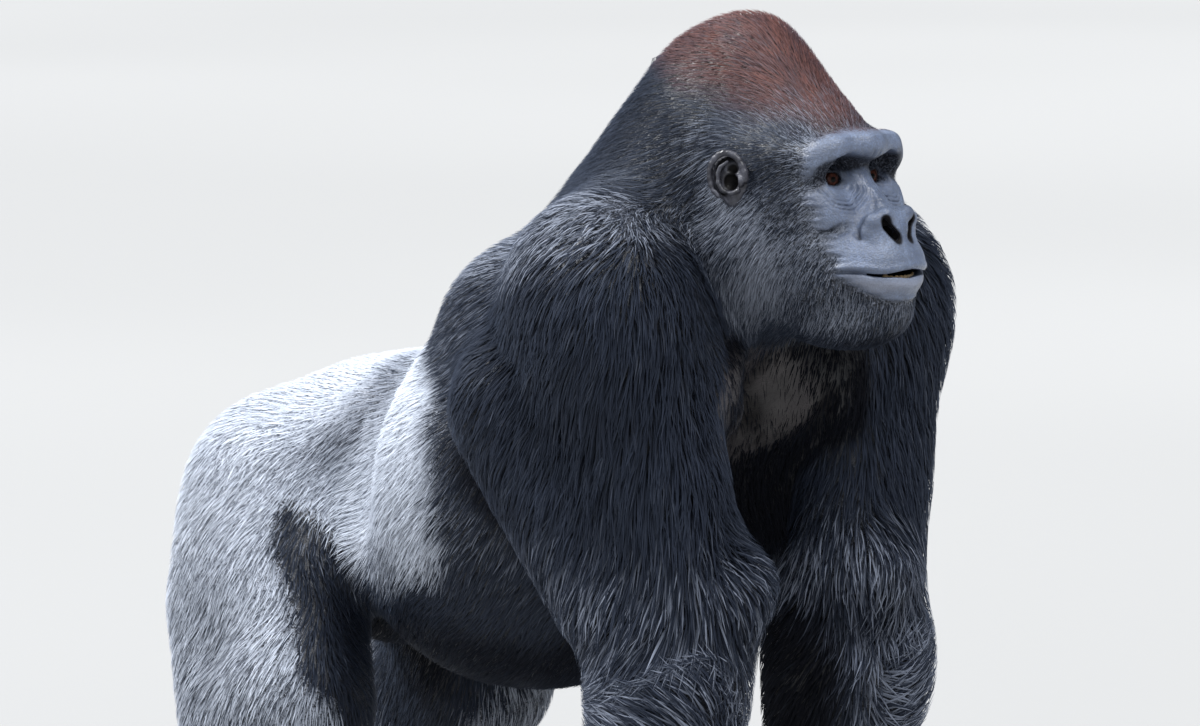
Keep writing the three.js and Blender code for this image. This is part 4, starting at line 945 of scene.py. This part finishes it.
def skin_material():
    t = Tree("gorilla_skin")
    bare, chest = t.attr("bare"), t.attr("chest")
    fine = t.noise(420.0, 3.0)
    rnd = t.ramp(fine, 0.3, 0.7)
    fur = t.mix(1.0, coat_colour(t, rnd, t.ramp(t.noise(260.0, 2.0), 0.35, 0.65, 0.0, 0.7)), (0.75, 0.75, 0.77), "MULTIPLY")
    # naked face: slate black, greyer where the skin is worn, with painted shade in the folds, the nostrils, the mouth
    # and under the brows
    tone = t.noise(38.0, 4.0, 0.6)
    slate = t.mix(t.ramp(tone, 0.3, 0.7), (0.098, 0.124, 0.190), (0.196, 0.245, 0.360))
    slate = t.mix(1.0, slate, t.mix(t.ramp(t.noise(17.0, 3.0, 0.6), 0.3, 0.7), (0.74, 0.74, 0.76), (1.02, 1.02, 1.0)), "MULTIPLY")
    slate = t.mix(t.ramp(t.cells(430.0), 0.25, 0.75, 0.0, 0.6), slate, (0.105, 0.122, 0.160))
    slate = t.mix(t.math("MULTIPLY", t.attr("lips"), 0.7), slate, (0.215, 0.228, 0.275))
    slate = t.mix(t.math("MULTIPLY", t.attr("fold"), 0.62), slate, (0.030, 0.032, 0.044))
    slate = t.mix(t.attr("dark_and_shade"), slate, (0.008, 0.007, 0.007))
    brown = t.mix(t.ramp(t.noise(22.0, 3.0), 0.3, 0.7), (0.020, 0.016, 0.016), (0.048, 0.040, 0.040))
    # painted shade in the chest's creases
    brown = t.mix(t.attr("crease_shade"), brown, (0.003, 0.0025, 0.0025))
    col = t.mix(chest, fur, brown)
    col = t.mix(bare, col, slate)
    rough = t.math("SUBTRACT", t.ramp(t.noise(120.0, 3.0), 0.3, 0.7, 0.38, 0.56), t.math("MULTIPLY", t.attr("wet"), 0.27))
    t.set(Base_Color=col, Roughness=rough)
    t.put(t.b.inputs["Specular IOR Level"], t.ramp(t.math("MAXIMUM", t.attr("dark_and_shade"), t.attr("crease_shade")), 0.0, 1.0, 0.5, 0.06))
    t.b.inputs["Sheen Weight"].default_value = 0.05
    t.b.inputs["Sheen Tint"].default_value = (0.6, 0.7, 1.0, 1)
    pores = t.bump(t.cells(520.0), 0.35, 0.0011)
    lines = t.bump(t.noise(150.0, 4.0, 0.65, stretch=(1.0, 1.0, 2.4)), 0.45, 0.0022, pores)
    t.set(Normal=t.bump(t.noise(40.0, 3.0), 0.25, 0.004, lines))
    return t.m


def eye_material():
    t = Tree("eye")
    ang, gx, gy = t.attr("ang"), t.attr("gx"), t.attr("gy")
    v = t.node("ShaderNodeCombineXYZ")
    t.put(v.inputs[0], gx)
    t.put(v.inputs[1], gy)
    streak = t.node("ShaderNodeTexNoise")
    streak.inputs["Scale"].default_value = 9.0
    streak.inputs["Detail"].default_value = 4.0
    t.t.links.new(v.outputs[0], streak.inputs["Vector"])
    iris = t.mix(t.ramp(streak.outputs["Fac"], 0.35, 0.65), (0.028, 0.010, 0.008), (0.098, 0.032, 0.020))
    iris = t.mix(t.ramp(ang, 5.6, 8.6), iris, (0.016, 0.006, 0.005))
    col = t.mix(t.ramp(ang, 2.7, 3.9), (0.001, 0.001, 0.001), iris)
    white = t.mix(t.ramp(t.noise(300.0, 3.0), 0.3, 0.7), (0.055, 0.024, 0.018), (0.10, 0.050, 0.036))
    white = t.mix(t.ramp(ang, 11.5, 16.0), white, (0.05, 0.024, 0.02))
    col = t.mix(t.ramp(ang, 8.8, 9.8), col, white)
    t.set(Base_Color=col, Roughness=t.ramp(t.noise(200.0), 0.3, 0.7, 0.30, 0.40))
    t.b.inputs["Coat Weight"].default_value = 0.20
    t.b.inputs["Coat Roughness"].default_value = 0.03
    t.b.inputs["Specular IOR Level"].default_value = 0.03
    return t.m


def nail_material():
    t = Tree("nail")
    n = t.noise(260.0, 4.0, 0.6, stretch=(3.0, 0.6, 0.6))
    col = t.mix(t.ramp(n, 0.3, 0.7), (0.020, 0.017, 0.016), (0.070, 0.058, 0.050))
    t.set(Base_Color=col, Roughness=t.ramp(n, 0.3, 0.7, 0.28, 0.45), Normal=t.bump(n, 0.4, 0.0007))
    return t.m


def tooth_material():
    t = Tree("tooth")
    n = t.noise(180.0, 3.0)
    col = t.mix(t.ramp(n, 0.3, 0.7), (0.42, 0.27, 0.12), (0.62, 0.44, 0.24))
    t.set(Base_Color=col, Roughness=t.ramp(n, 0.3, 0.7, 0.22, 0.34), Normal=t.bump(n, 0.2, 0.0005))
    t.b.inputs["Coat Weight"].default_value = 0.4
    return t.m


def ear_material():
    t = Tree("ear_skin")
    n = t.noise(90.0, 4.0, 0.6)
    col = t.mix(t.ramp(n, 0.3, 0.7), (0.016, 0.016, 0.021), (0.060, 0.062, 0.080))
    # painted shade in the hollow of the ear
    col = t.mix(t.attr("dark_and_shade"), col, (0.004, 0.0035, 0.0035))
    t.set(Base_Color=col, Roughness=t.ramp(n, 0.3, 0.7, 0.38, 0.54))
    t.put(t.b.inputs["Specular IOR Level"], t.ramp(t.attr("dark_and_shade"), 0.0, 1.0, 0.5, 0.08))
    t.set(Normal=t.bump(t.cells(600.0), 0.3, 0.0008, t.bump(n, 0.3, 0.0015)))
    return t.m


MAT = dict(coat=coat_material(), skin=skin_material(), eye=eye_material(), nail=nail_material(), tooth=tooth_material(), ear=ear_material())

# ------------------------------------------------------------------ the skin
FLESH = [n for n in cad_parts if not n.startswith(("eye_", "ear_", "nail_"))]
FINE = [  # centre, share of the plain cell, where it starts to widen, where it is plain again
    (head.world([38, 0, -58]), 0.18, 370.0, 1000.0),
    (hand[-1].world([20, 0, 45]), 0.50, 120.0, 280.0),
    (hand[1].world([20, 0, 45]), 0.50, 120.0, 280.0),
    (foot[-1].world([70, 0, 30]), 0.55, 130.0, 290.0),
    (foot[1].world([70, 0, 30]), 0.55, 130.0, 290.0),
]


def warp(U):
    out = U.copy()
    for c, m, R1, R2 in FINE:
        q = out - c
        x = np.clip((np.sqrt((q * q).sum(1)) - R1) / (R2 - R1), 0, 1)
        out = c + q * (m + (1 - m) * x**3 * (10 - 15 * x + 6 * x * x))[:, None]
    return out


V, Q = surface(skin, (-680, -640, -150), (900, 640, 1700), 8.6, warp=warp)
V, N = snap(skin, V, 2, 3.0, 0.7)
m = marks(V)
Hs = head.local(V.astype(F))
ay = np.abs(Hs[:, 1])
zc = mouth_line(ay)
dzv = Hs[:, 2] - zc
lips = m["bare"] * np.exp(-(((dzv + 12) / 9) ** 2)) * sstep(Hs[:, 0], 30, 62)
env = envelope(V.astype(F), 30)
# painted shade inside the mouth and deep in the nostrils
front_ = sstep(Hs[:, 0], 4, 16) * (ay < 62) * (Hs[:, 2] < -24)
mouth = front_ * sstep(-env, 3.0, 7.0)
nostril_shade = np.maximum(sstep(-HOLE.dist(Hs, 30), -3.6, -0.8), (np.abs(Hs[:, 2] + 55) < 20) * (ay < 34) * (Hs[:, 0] > 36) * sstep(-env, 2.0, 5.0))
# dark lids about each eye, and painted shade in the hollow about it and in the band under the brow
socket = np.zeros(len(V))
for s in (-1, 1):
    r_ = np.linalg.norm(Hs - EYE_C[s].astype(F), axis=1)
    socket = np.maximum(socket, 0.95 * sstep(r_, 18.2, 16.2))
socket = np.maximum(socket, 0.93 * under_brow(Hs))
# painted shade: the chest skin goes black along the throat and breast folds and in the crevices beside the breasts
crease_shade = np.zeros(len(V), F)
for pts, width, deep in BODY_FOLDS:
    crease_shade = np.maximum(crease_shade, np.exp(-((to_line(V.astype(F), pts) / (width * 1.1)) ** 2)))
crease_shade = np.maximum(crease_shade, 0.92 * np.exp(-((to_line(V.astype(F), [(306, -58, 812), (312, -82, 756), (315, -100, 722), (318, -128, 690)]) / 24) ** 2)))
crease_shade = np.maximum(crease_shade, 0.92 * np.exp(-((to_line(V.astype(F), [(300, -44, 812), (276, -30, 765), (250, 2, 715)]) / 24) ** 2)))
m["crease_shade"] = crease_shade
# painted shade in the face's furrows, below the outer brows and on the sides of the face past the eyes; darker skin
# along the edge of the hair
fold = np.zeros(len(V), F)
for pts, width, deep in FURROWS:
    for s in (-1, 1):
        fold = np.maximum(fold, min(deep / 3.0, 1) * np.exp(-((to_line(Hs, [(a, s * b, c) for a, b, c in pts]) / (width * 0.9)) ** 2)))
edge_ = np.interp(Hs[:, 2], [-150, -120, -88, -48, -12, 20, 46], [86, 48, 31, 9, -2, -6, 0])
fold = np.maximum(fold, 0.55 * sstep(Hs[:, 0] - edge_, 20, 0) * sstep(-Hs[:, 2], -30, -10))
fold = np.maximum(fold, 0.5 * np.exp(-((to_line(Hs, [(36, 44, -48), (22, 56, -62), (20, 60, -84)]) / 10) ** 2)))
fold = np.maximum(fold, 0.5 * np.exp(-((to_line(Hs, [(36, -44, -48), (22, -56, -62), (20, -60, -84)]) / 10) ** 2)))
fold = np.maximum(fold, 0.62 * sstep(ay, 46, 70) * sstep(Hs[:, 2], 16, 32) * sstep(Hs[:, 0], -40, -10))
m["fold"] = fold
m["wet"] = m["bare"] * np.maximum(np.exp(-((to_line(Hs, [(22, 0, 4), (44, 0, -20), (62, 0, -40), (74, 0, -54)]) / 13) ** 2)), 0.7 * np.exp(-(((dzv - 4) / 7) ** 2)) * sstep(Hs[:, 0], 60, 80))
# the skin is darkened by painted shade in the nostrils, the mouth and about the eyes, and is darker on the hands and
# feet
m["lips"], m["dark_and_shade"] = lips, np.clip(np.maximum(np.maximum(np.maximum(nostril_shade, mouth), socket), 0.62 * sstep(V[:, 2], 330, 250)), 0, 1)
skin_ob = make_mesh("skin", row(V), Q, floats=m)
skin_ob.data.materials.append(MAT["skin"])
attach(skin_ob, "root")
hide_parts(*FLESH)
print("skin", len(V), "vertices", len(Q), "quads")


# ------------------------------------------------------------------ eyes
def make_eye(s):
    gaze = unit(np.array([math.cos(math.radians(-14)), math.sin(math.radians(-14)), 0.03]))
    side = unit(np.cross([0, 0, 1.0], gaze))
    up = np.cross(gaze, side)
    rings, segs = 48, 56
    pts, ang, gx, gy, faces = [], [], [], [], []
    for i in range(rings + 1):
        a = math.pi * (i / rings) ** 1.15
        bulge = 0.9 * max(0.0, 1 - (EYE_R * a / 8.4) ** 2)
        r = EYE_R + bulge
        for j in range(1 if i in (0, rings) else segs):
            b = 2 * math.pi * j / segs
            dirv = gaze * math.cos(a) + (side * math.cos(b) + up * math.sin(b)) * math.sin(a)
            pts.append(EYE_C[s] + r * dirv)
            ang.append(EYE_R * a)
            gx.append(math.cos(b))
            gy.append(math.sin(b))
    first = lambda i: 0 if i == 0 else 1 + (i - 1) * segs
    tri, quad = [], []
    for j in range(segs):
        k = (j + 1) % segs
        tri.append((0, first(1) + j, first(1) + k))
        tri.append((first(rings), first(rings - 1) + k, first(rings - 1) + j))
        for i in range(1, rings - 1):
            quad.append((first(i) + j, first(i + 1) + j, first(i + 1) + k, first(i) + k))
    P = head.world(np.array(pts))
    ob = make_mesh("eyeball_" + ("left" if s > 0 else "right"), row(P), [np.array(tri), np.array(quad)], floats=dict(ang=ang, gx=gx, gy=gy))
    ob.data.materials.append(MAT["eye"])
    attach(ob, "root")
    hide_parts("eye_left" if s > 0 else "eye_right")


for s in (-1, 1):
    make_eye(s)


# ------------------------------------------------------------------ ears
def make_ear(s):
    g = Group()
    base = Group()
    base.ell([0, -1, 1], [23, 4.5, 30], k=4)
    base.ell([10, -4, -2], [16, 10, 22], k=8)
    base.ell([4, 0, -27], [10, 5.0, 10], k=6)
    rim = []
    for i in range(15):
        a = math.radians(-14 + i * 17.5)
        rim.append([22.5 * math.cos(a) + (1 if i < 2 else 0), 6.5 - 0.2 * abs(i - 7), 3 + 29.5 * math.sin(a), 4.3 - 0.07 * i])
    for a, b in zip(rim[:-1], rim[1:]):
        base.con(a[:3], b[:3], a[3], b[3], 2)
    anti = [[2, 6, 21, 2.2], [-7, 6.5, 16, 2.6], [-12, 7, 6, 3.0], [-12.5, 7.5, -4, 3.2], [-7, 7.5, -14, 3.2], [3, 7, -19, 3.0], [12, 6.5, -17, 3.2]]
    for a, b in zip(anti[:-1], anti[1:]):
        base.con(a[:3], b[:3], a[3], b[3], 2)
    base.ell([17, 7, -6], [4.0, 4.5, 7], k=3)
    base.ell([4, 8, -5], [11, 10.5, 12], k=2, cut=True)
    base.ell([8, 8, 11], [9, 7.5, 8], [0, 0, 0], 2, cut=True)
    base.con([-16.5, 7.5, 12], [-16, 8, -10], 2.6, 2.4, 2, cut=True)
    base.con([-14, 7.5, 17], [2, 7, 26], 2.6, 2.4, 2, cut=True)
    turn = turned(s * -26, 8, s * 6)
    origin = np.array([-90, s * 114, 1.0])

    def field(P, margin=10):
        q = P * np.array([1, s, 1], F)
        return base.dist(q.astype(F), margin)

    V, Q = surface(field, (-34, -20, -46), (34, 20, 42) if s > 0 else (34, 20, 42), 1.5, block=6, margin=10)
    V, N = snap(field, V, 2, 1.0, 0.3)
    q = V * np.array([1, s, 1])
    # painted shade in the hollow of the ear
    dark_and_shade = sstep(5.5 - q[:, 1], 0, 4) * (((q[:, 0] - 2) / 19) ** 2 + ((q[:, 2] - 1) / 26) ** 2 < 1) * (q[:, 1] > -3)
    P = head.world(0.9 * V @ turn.T + origin)
    ob = make_mesh("ear_shell_" + ("left" if s > 0 else "right"), row(P), Q, floats=dict(dark_and_shade=dark_and_shade))
    ob.data.materials.append(MAT["ear"])
    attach(ob, "root")
    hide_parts("ear_left" if s > 0 else "ear_right")


for s in (-1, 1):
    make_ear(s)

# ------------------------------------------------------------------ nails keep their solids
for n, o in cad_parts.items():
    if n.startswith("nail_"):
        o.data.materials.clear()
        o.data.materials.append(MAT["nail"])
        for p in o.data.polygons:
            p.use_smooth = True


# ------------------------------------------------------------------ lower teeth, just seen between the lips
def make_teeth():
    g = Group()
    for i in range(-4, 5):
        a = math.radians(i * 9.5)
        w = 4.1 if abs(i) < 4 else 5.0
        x, y = 32 + 44 * math.cos(a), 38 * math.sin(a)
        g.ell([x, y, -112], [2.6, w, 6.4 if abs(i) < 4 else 8.0], [math.degrees(a), 0, 0], 1.6)
    gum = [[32 + 43 * math.cos(math.radians(i * 10)), 37 * math.sin(math.radians(i * 10)), -116.5] for i in range(-5, 6)]
    for a, b in zip(gum[:-1], gum[1:]):
        g.con(a, b, 5, 5, 2)
    V, Q = surface(lambda P, mm=6: g.dist(P, mm), (40, -46, -130), (80, 46, -98), 1.3, block=6, margin=6)
    V, N = snap(lambda P, mm=6: g.dist(P, mm), V, 1, 1.0, 0.3)
    ob = make_mesh("teeth_lower", row(head.world(V)), Q)
    ob.data.materials.append(MAT["tooth"])
    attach(ob, "root")


make_teeth()


# ------------------------------------------------------------------ the coat
def make_coat():
    P = V_SKIN
    tri = np.concatenate([Q_SKIN[:, [0, 1, 2]], Q_SKIN[:, [0, 2, 3]]])
    A, B, C = P[tri[:, 0]], P[tri[:, 1]], P[tri[:, 2]]
    area = 0.5 * np.linalg.norm(np.cross(B - A, C - A), axis=1)
    mid = (A + B + C) / 3
    M = mid.astype(F)
    _, got = envelope(M, 60, parts=True)
    keys = ["trunk", "head", ("arm", -1), ("arm", 1), ("leg", -1), ("leg", 1)]
    D = np.stack([got["trunk"], got["head"], np.minimum(got["arm", -1], got["hand", -1]), np.minimum(got["arm", 1], got["hand", 1]), np.minimum(got["leg", -1], got["foot", -1]), np.minimum(got["leg", 1], got["foot", 1])], 1)
    part = D.argmin(1)
    Hm = head.local(M)
    bare = bare_at(M, Hm)
    chest = chest_at(M)
    # one tuft for so many square millimetres
    per = np.array([14.5, 9.0, 19.5, 19.5, 16.5, 16.5])[part]
    per = np.where((part == 1) & (Hm[:, 0] > -130), 4.6, per)
    dens = 0.985 * (1 - bare) ** 1.5 / per * (1 - 0.55 * chest)
    # where body and limb press together there is nothing to see
    hid = np.sort(D, 1)[:, 1]
    dens = dens * np.where((D.min(1) > -60) & (hid < 6) & (M[:, 2] < 690) & (part != 1), 0.5, 1)
    dens[mid[:, 2] < 3] = 0
    cum = np.cumsum(area * dens)
    n = int(cum[-1])
    at = (np.arange(n) + rng.uniform(0, 1, n)) * (cum[-1] / n)
    t = np.minimum(np.searchsorted(cum, at), len(tri) - 1)
    r1, r2 = np.sqrt(rng.uniform(size=n)), rng.uniform(size=n)
    w = np.stack([1 - r1, r1 * (1 - r2), r1 * r2], 1)
    R0 = (P[tri[t]] * w[:, :, None]).sum(1)
    Nr = unit((N_SKIN[tri[t]] * w[:, :, None]).sum(1))
    prt = part[t]
    Rf = R0.astype(F)
    lt = lattice(Rf)
    T, L, dep = lt[:, :3].astype(float), lt[:, 3].astype(float), lt[:, 4].astype(float)
    b = bare_at(Rf)
    ch = chest_at(Rf)
    rnd = rng.uniform(size=n)
    u1, u2, u3 = rng.normal(size=(3, n))
    # scatter in the lie, then locks: neighbouring tips drawn together
    T = unit(T) + 0.10 * rng.normal(size=(n, 3))
    wob = np.stack([waves(Rf, 120, 31), waves(Rf, 120, 32), waves(Rf, 120, 33)], 1)
    T = T + 0.13 * wob
    T = unit(T - (T * Nr).sum(1, keepdims=True) * Nr)
    long_ = sstep(L, 26, 44)
    L = L * (1 - 0.45 * b) * np.exp(0.16 * u1) * (1 + 0.12 * waves(Rf, 60, 9))
    dep = dep * (1 - b) * (1 - 0.7 * ch)
    lockn = waves(Rf, 26, 41) * 0.5 + waves(Rf, 11, 42) * 0.5
    lift = dep * (1.0 + 0.18 * u2 * (0.5 + 0.5 * long_) + (0.16 + 0.14 * long_) * lockn) - 0.5
    g1 = waves(Rf, 30, 51, grad=True)
    g2 = waves(Rf, 13, 52, grad=True)
    pull = (g1 * (34 * long_ + 8)[:, None] + g2 * (7 + 4 * long_)[:, None]) * (L / 60)[:, None] * 1.0
    pull -= (pull * Nr).sum(1, keepdims=True) * Nr
    tip = R0 + T * L[:, None] + pull + Nr * lift[:, None]
    # tips follow the body's curve: as far under the outline there as they should be
    want = -(dep - lift) * 1.0
    want = np.minimum(want, 0.4)
    for _ in range(2):
        tf = tip.astype(F)
        d = envelope(tf, 30)
        g = gradient(envelope, tf, 2.0)
        mv = (want - d) / np.maximum((g * g).sum(1), 0.3)
        tip = tip + g * np.clip(mv, -L * 0.7, L * 0.7)[:, None]
    low = np.maximum(1.5 - tip[:, 2], 0)
    tip[:, 2] += low
    Pc = R0 + Nr * (np.maximum(lift, 0.6) * 0.85)[:, None] + T * (L * 0.30)[:, None] + pull * 0.15
    root = R0 - Nr * 1.2
    width = np.interp(L, [5, 10, 20, 40, 70], [0.70, 0.90, 1.4, 2.1, 2.6]) * np.exp(0.15 * u3)
    width = np.where(prt == 1, width * 0.82, width)
    lean = rng.normal(size=(n, 3))
    mk = marks(Rf)
    seg = np.where(L > 26, 2, 1)
    # lists of pieces: part, splits of it
    f_, l_, z_ = R0[:, 0], R0[:, 1], R0[:, 2]
    Hr = head.local(Rf)
    names = np.full(n, "", dtype=object)
    hx = Hr[:, 0]
    names[(prt == 1) & (hx > -135)] = "head"
    names[(prt == 1) & (hx <= -135)] = "nape"
    names[(prt == 0) & (f_ > -20)] = "chest"
    names[(prt == 0) & (f_ <= -20) & (f_ > -260)] = "flank"
    names[(prt == 0) & (f_ <= -260)] = "rump"
    for k, s in ((2, -1), (3, 1)):
        nm = "right" if s < 0 else "left"
        names[(prt == k) & (z_ > ELBOW[s][2] + 60)] = "upper_arm_" + nm
        names[(prt == k) & (z_ <= ELBOW[s][2] + 60)] = "forearm_" + nm
    names[prt == 4] = "leg_right"
    names[prt == 5] = "leg_left"
    axes = {
        "head": (head.world([-60, 0, -20]), head.R[:, 0]), "nape": (head.world([-190, 0, -10]), head.R[:, 0]),
        "chest": (np.array([100, 0, 700.0]), np.array([1.0, 0, 0.3])), "flank": (np.array([-140, 0, 620.0]), np.array([1.0, 0, 0.1])),
        "rump": (np.array([-380, 0, 600.0]), np.array([1.0, 0, 0])),
    }
    for s, nm in ((-1, "right"), (1, "left")):
        S, E, W = [np.array(x[s], float) for x in (SHOULDER, ELBOW, WRIST)]
        axes["upper_arm_" + nm] = ((S + E) / 2, S - E)
        axes["forearm_" + nm] = ((E + W) / 2, E - W)
        axes["leg_" + nm] = (np.array(KNEE[s], float) + [-40, 0, 20], np.array([0.0, 0, 1]))
    total = 0
    for name in sorted(axes):
        idx = np.nonzero(names == name)[0]
        c, ax = axes[name]
        ax = unit(np.array(ax, float))
        e1 = unit(np.cross(ax, [0.3, 0.9, 0.1]))
        e2 = np.cross(ax, e1)
        q = R0[idx] - c
        th = np.arctan2(q @ e2, q @ e1) / (2 * math.pi) + 0.5
        hh = q @ ax + 0.35 * np.hypot(q @ e1, q @ e2) * np.sign(q @ ax)
        hh = (hh - hh.min()) / max(np.ptp(hh), 1e-6)
        uv0 = np.stack([0.004 + 0.992 * th, 0.004 + 0.992 * hh], 1)
        Vs, Ns, Fs, fl, UV, base = [], [], [], {k: [] for k in ("pale", "tone", "red", "rnd", "tip")}, [], 0
        for sg in (1, 2):
            k = idx[seg[idx] == sg]
            sel = seg[idx] == sg
            if not len(k):
                continue
            a, p, z = root[k], Pc[k], tip[k]
            sd = unit(np.cross(z - a, Nr[k]))
            up = unit(np.cross(sd, z - a))
            wv = width[k][:, None]
            nk = unit(Nr[k] + 0.25 * unit(z - a) + 0.16 * lean[k])
            cols, nrm, tips, offs = [a], [nk], [0.0], [(0, -0.0015)]
            rings = [(0.38, 1.0)] if sg == 1 else [(0.28, 1.0), (0.66, 0.72)]
            for sv, ws in rings:
                cc = (1 - sv) ** 2 * a + 2 * sv * (1 - sv) * p + sv**2 * z
                cols += [cc - sd * wv * 0.5 * ws - up * wv * 0.1 * ws, cc + sd * wv * 0.5 * ws - up * wv * 0.1 * ws, cc + up * wv * 0.28 * ws]
                nrm += [nk - 0.42 * sd, nk + 0.42 * sd, nk]
                tips += [sv, sv, sv]
                offs += [(-0.0015, -0.0015 + 0.003 * sv), (0.0015, -0.0015 + 0.003 * sv), (0.0, -0.0015 + 0.003 * sv)]
            cols.append(z)
            nrm.append(nk)
            tips.append(1.0)
            offs.append((0, 0.0015))
            nv = len(cols)
            W_ = np.stack(cols, 1)
            Vs.append(W_.reshape(-1, 3))
            Ns.append(unit(np.stack(nrm, 1).reshape(-1, 3)))
            f = [(0, 2, 1), (0, 3, 2), (0, 1, 3)]
            for r in range(len(rings) - 1):
                o = 1 + 3 * r
                for i in range(3):
                    j = (i + 1) % 3
                    f += [(o + i, o + j, o + 3 + j), (o + i, o + 3 + j, o + 3 + i)]
            o = 1 + 3 * (len(rings) - 1)
            f += [(o, o + 1, nv - 1), (o + 1, o + 2, nv - 1), (o + 2, o, nv - 1)]
            f = np.array(f)[:, ::-1]
            Fs.append((f[None] + (base + nv * np.arange(len(k)))[:, None, None]).reshape(-1, 3))
            base += nv * len(k)
            for key in ("pale", "tone", "red"):
                fl[key].append(np.repeat(mk[key][k], nv))
            fl["rnd"].append(np.repeat(rnd[k], nv))
            fl["tip"].append(np.tile(np.array(tips), len(k)))
            UV.append((uv0[sel][:, None, :] + np.array(offs)[None]).reshape(-1, 2))
        Fa = np.concatenate(Fs)
        ob = make_mesh("coat_" + name, row(np.concatenate(Vs)), Fa, floats={k: np.concatenate(v) for k, v in fl.items()}, uv=np.clip(np.concatenate(UV), 0, 1), normals=turn_row(np.concatenate(Ns)))
        ob.data.materials.append(MAT["coat"])
        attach(ob, "root")
        total += len(Fa)
        print("coat", name, len(idx), "tufts", len(Fa), "triangles")
    print("coat in all", total)


V_SKIN, Q_SKIN, N_SKIN = V, Q, N
make_coat()

# ------------------------------------------------------------------ floor, light and camera
bpy.ops.mesh.primitive_circle_add(vertices=96, radius=90, fill_type="NGON", location=(0, 0, -0.0006))
floor = bpy.context.object
floor.name = "floor"
ft = Tree("floor")
n = ft.noise(0.15, 1.0)
ft.set(Base_Color=ft.mix(ft.ramp(n, 0.3, 0.7), (0.335, 0.335, 0.332), (0.35, 0.35, 0.347)), Roughness=ft.ramp(n, 0.3, 0.7, 0.75, 0.85))
floor.data.materials.append(ft.m)

world = bpy.data.worlds.new("studio")
bpy.context.scene.world = world
world.use_nodes = True
bg = world.node_tree.nodes["Background"]
bg.inputs[0].default_value = (0.80, 0.86, 0.95, 1)
bg.inputs[1].default_value = 0.22


def sun(direction, energy, angle, colour):
    light = bpy.data.lights.new("sun", "SUN")
    light.energy, light.angle, light.color = energy, math.radians(angle), colour
    ob = bpy.data.objects.new("light", light)
    ob.rotation_mode = "QUATERNION"
    ob.rotation_quaternion = Vector(direction).to_track_quat("-Z", "Y")
    bpy.context.scene.collection.objects.link(ob)


sun((0.10, 0.62, -1.0), 3.2, 18, (0.97, 0.98, 1.0))
sun((0.50, -0.62, -0.95), 5.8, 10, (0.98, 0.99, 1.0))
sun((0.8, 0.6, -0.45), 0.5, 40, (0.80, 0.88, 1.0))
bpy.context.scene.view_settings.view_transform = "Standard"

AZ, EL, FAR, SCALE = math.radians(-45.0), math.radians(5.5), 9000.0, 0.88
right = np.array([math.cos(AZ), math.sin(AZ), 0])
back = np.array([math.sin(AZ) * math.cos(EL), -math.cos(AZ) * math.cos(EL), math.sin(EL)])
up = np.cross(back, right)
eye_point = np.array([EYE[1] + SHIFT_X, -EYE[0] + SHIFT_Y, EYE[2]])
pos = (eye_point + back * FAR - right * (254 / SCALE) - up * (185 / SCALE)) / 1000
cam = bpy.data.cameras.new("camera")
cam.sensor_width = 36
cam.lens = SCALE * FAR / 1200 * 36
cam.clip_start, cam.clip_end = 0.1, 400
cam_ob = bpy.data.objects.new("camera", cam)
M = Matrix.Identity(4)
for i in range(3):
    M[i][0], M[i][1], M[i][2], M[i][3] = right[i], up[i], back[i], pos[i]
cam_ob.matrix_world = M
bpy.context.scene.collection.objects.link(cam_ob)
bpy.context.scene.camera = cam_ob
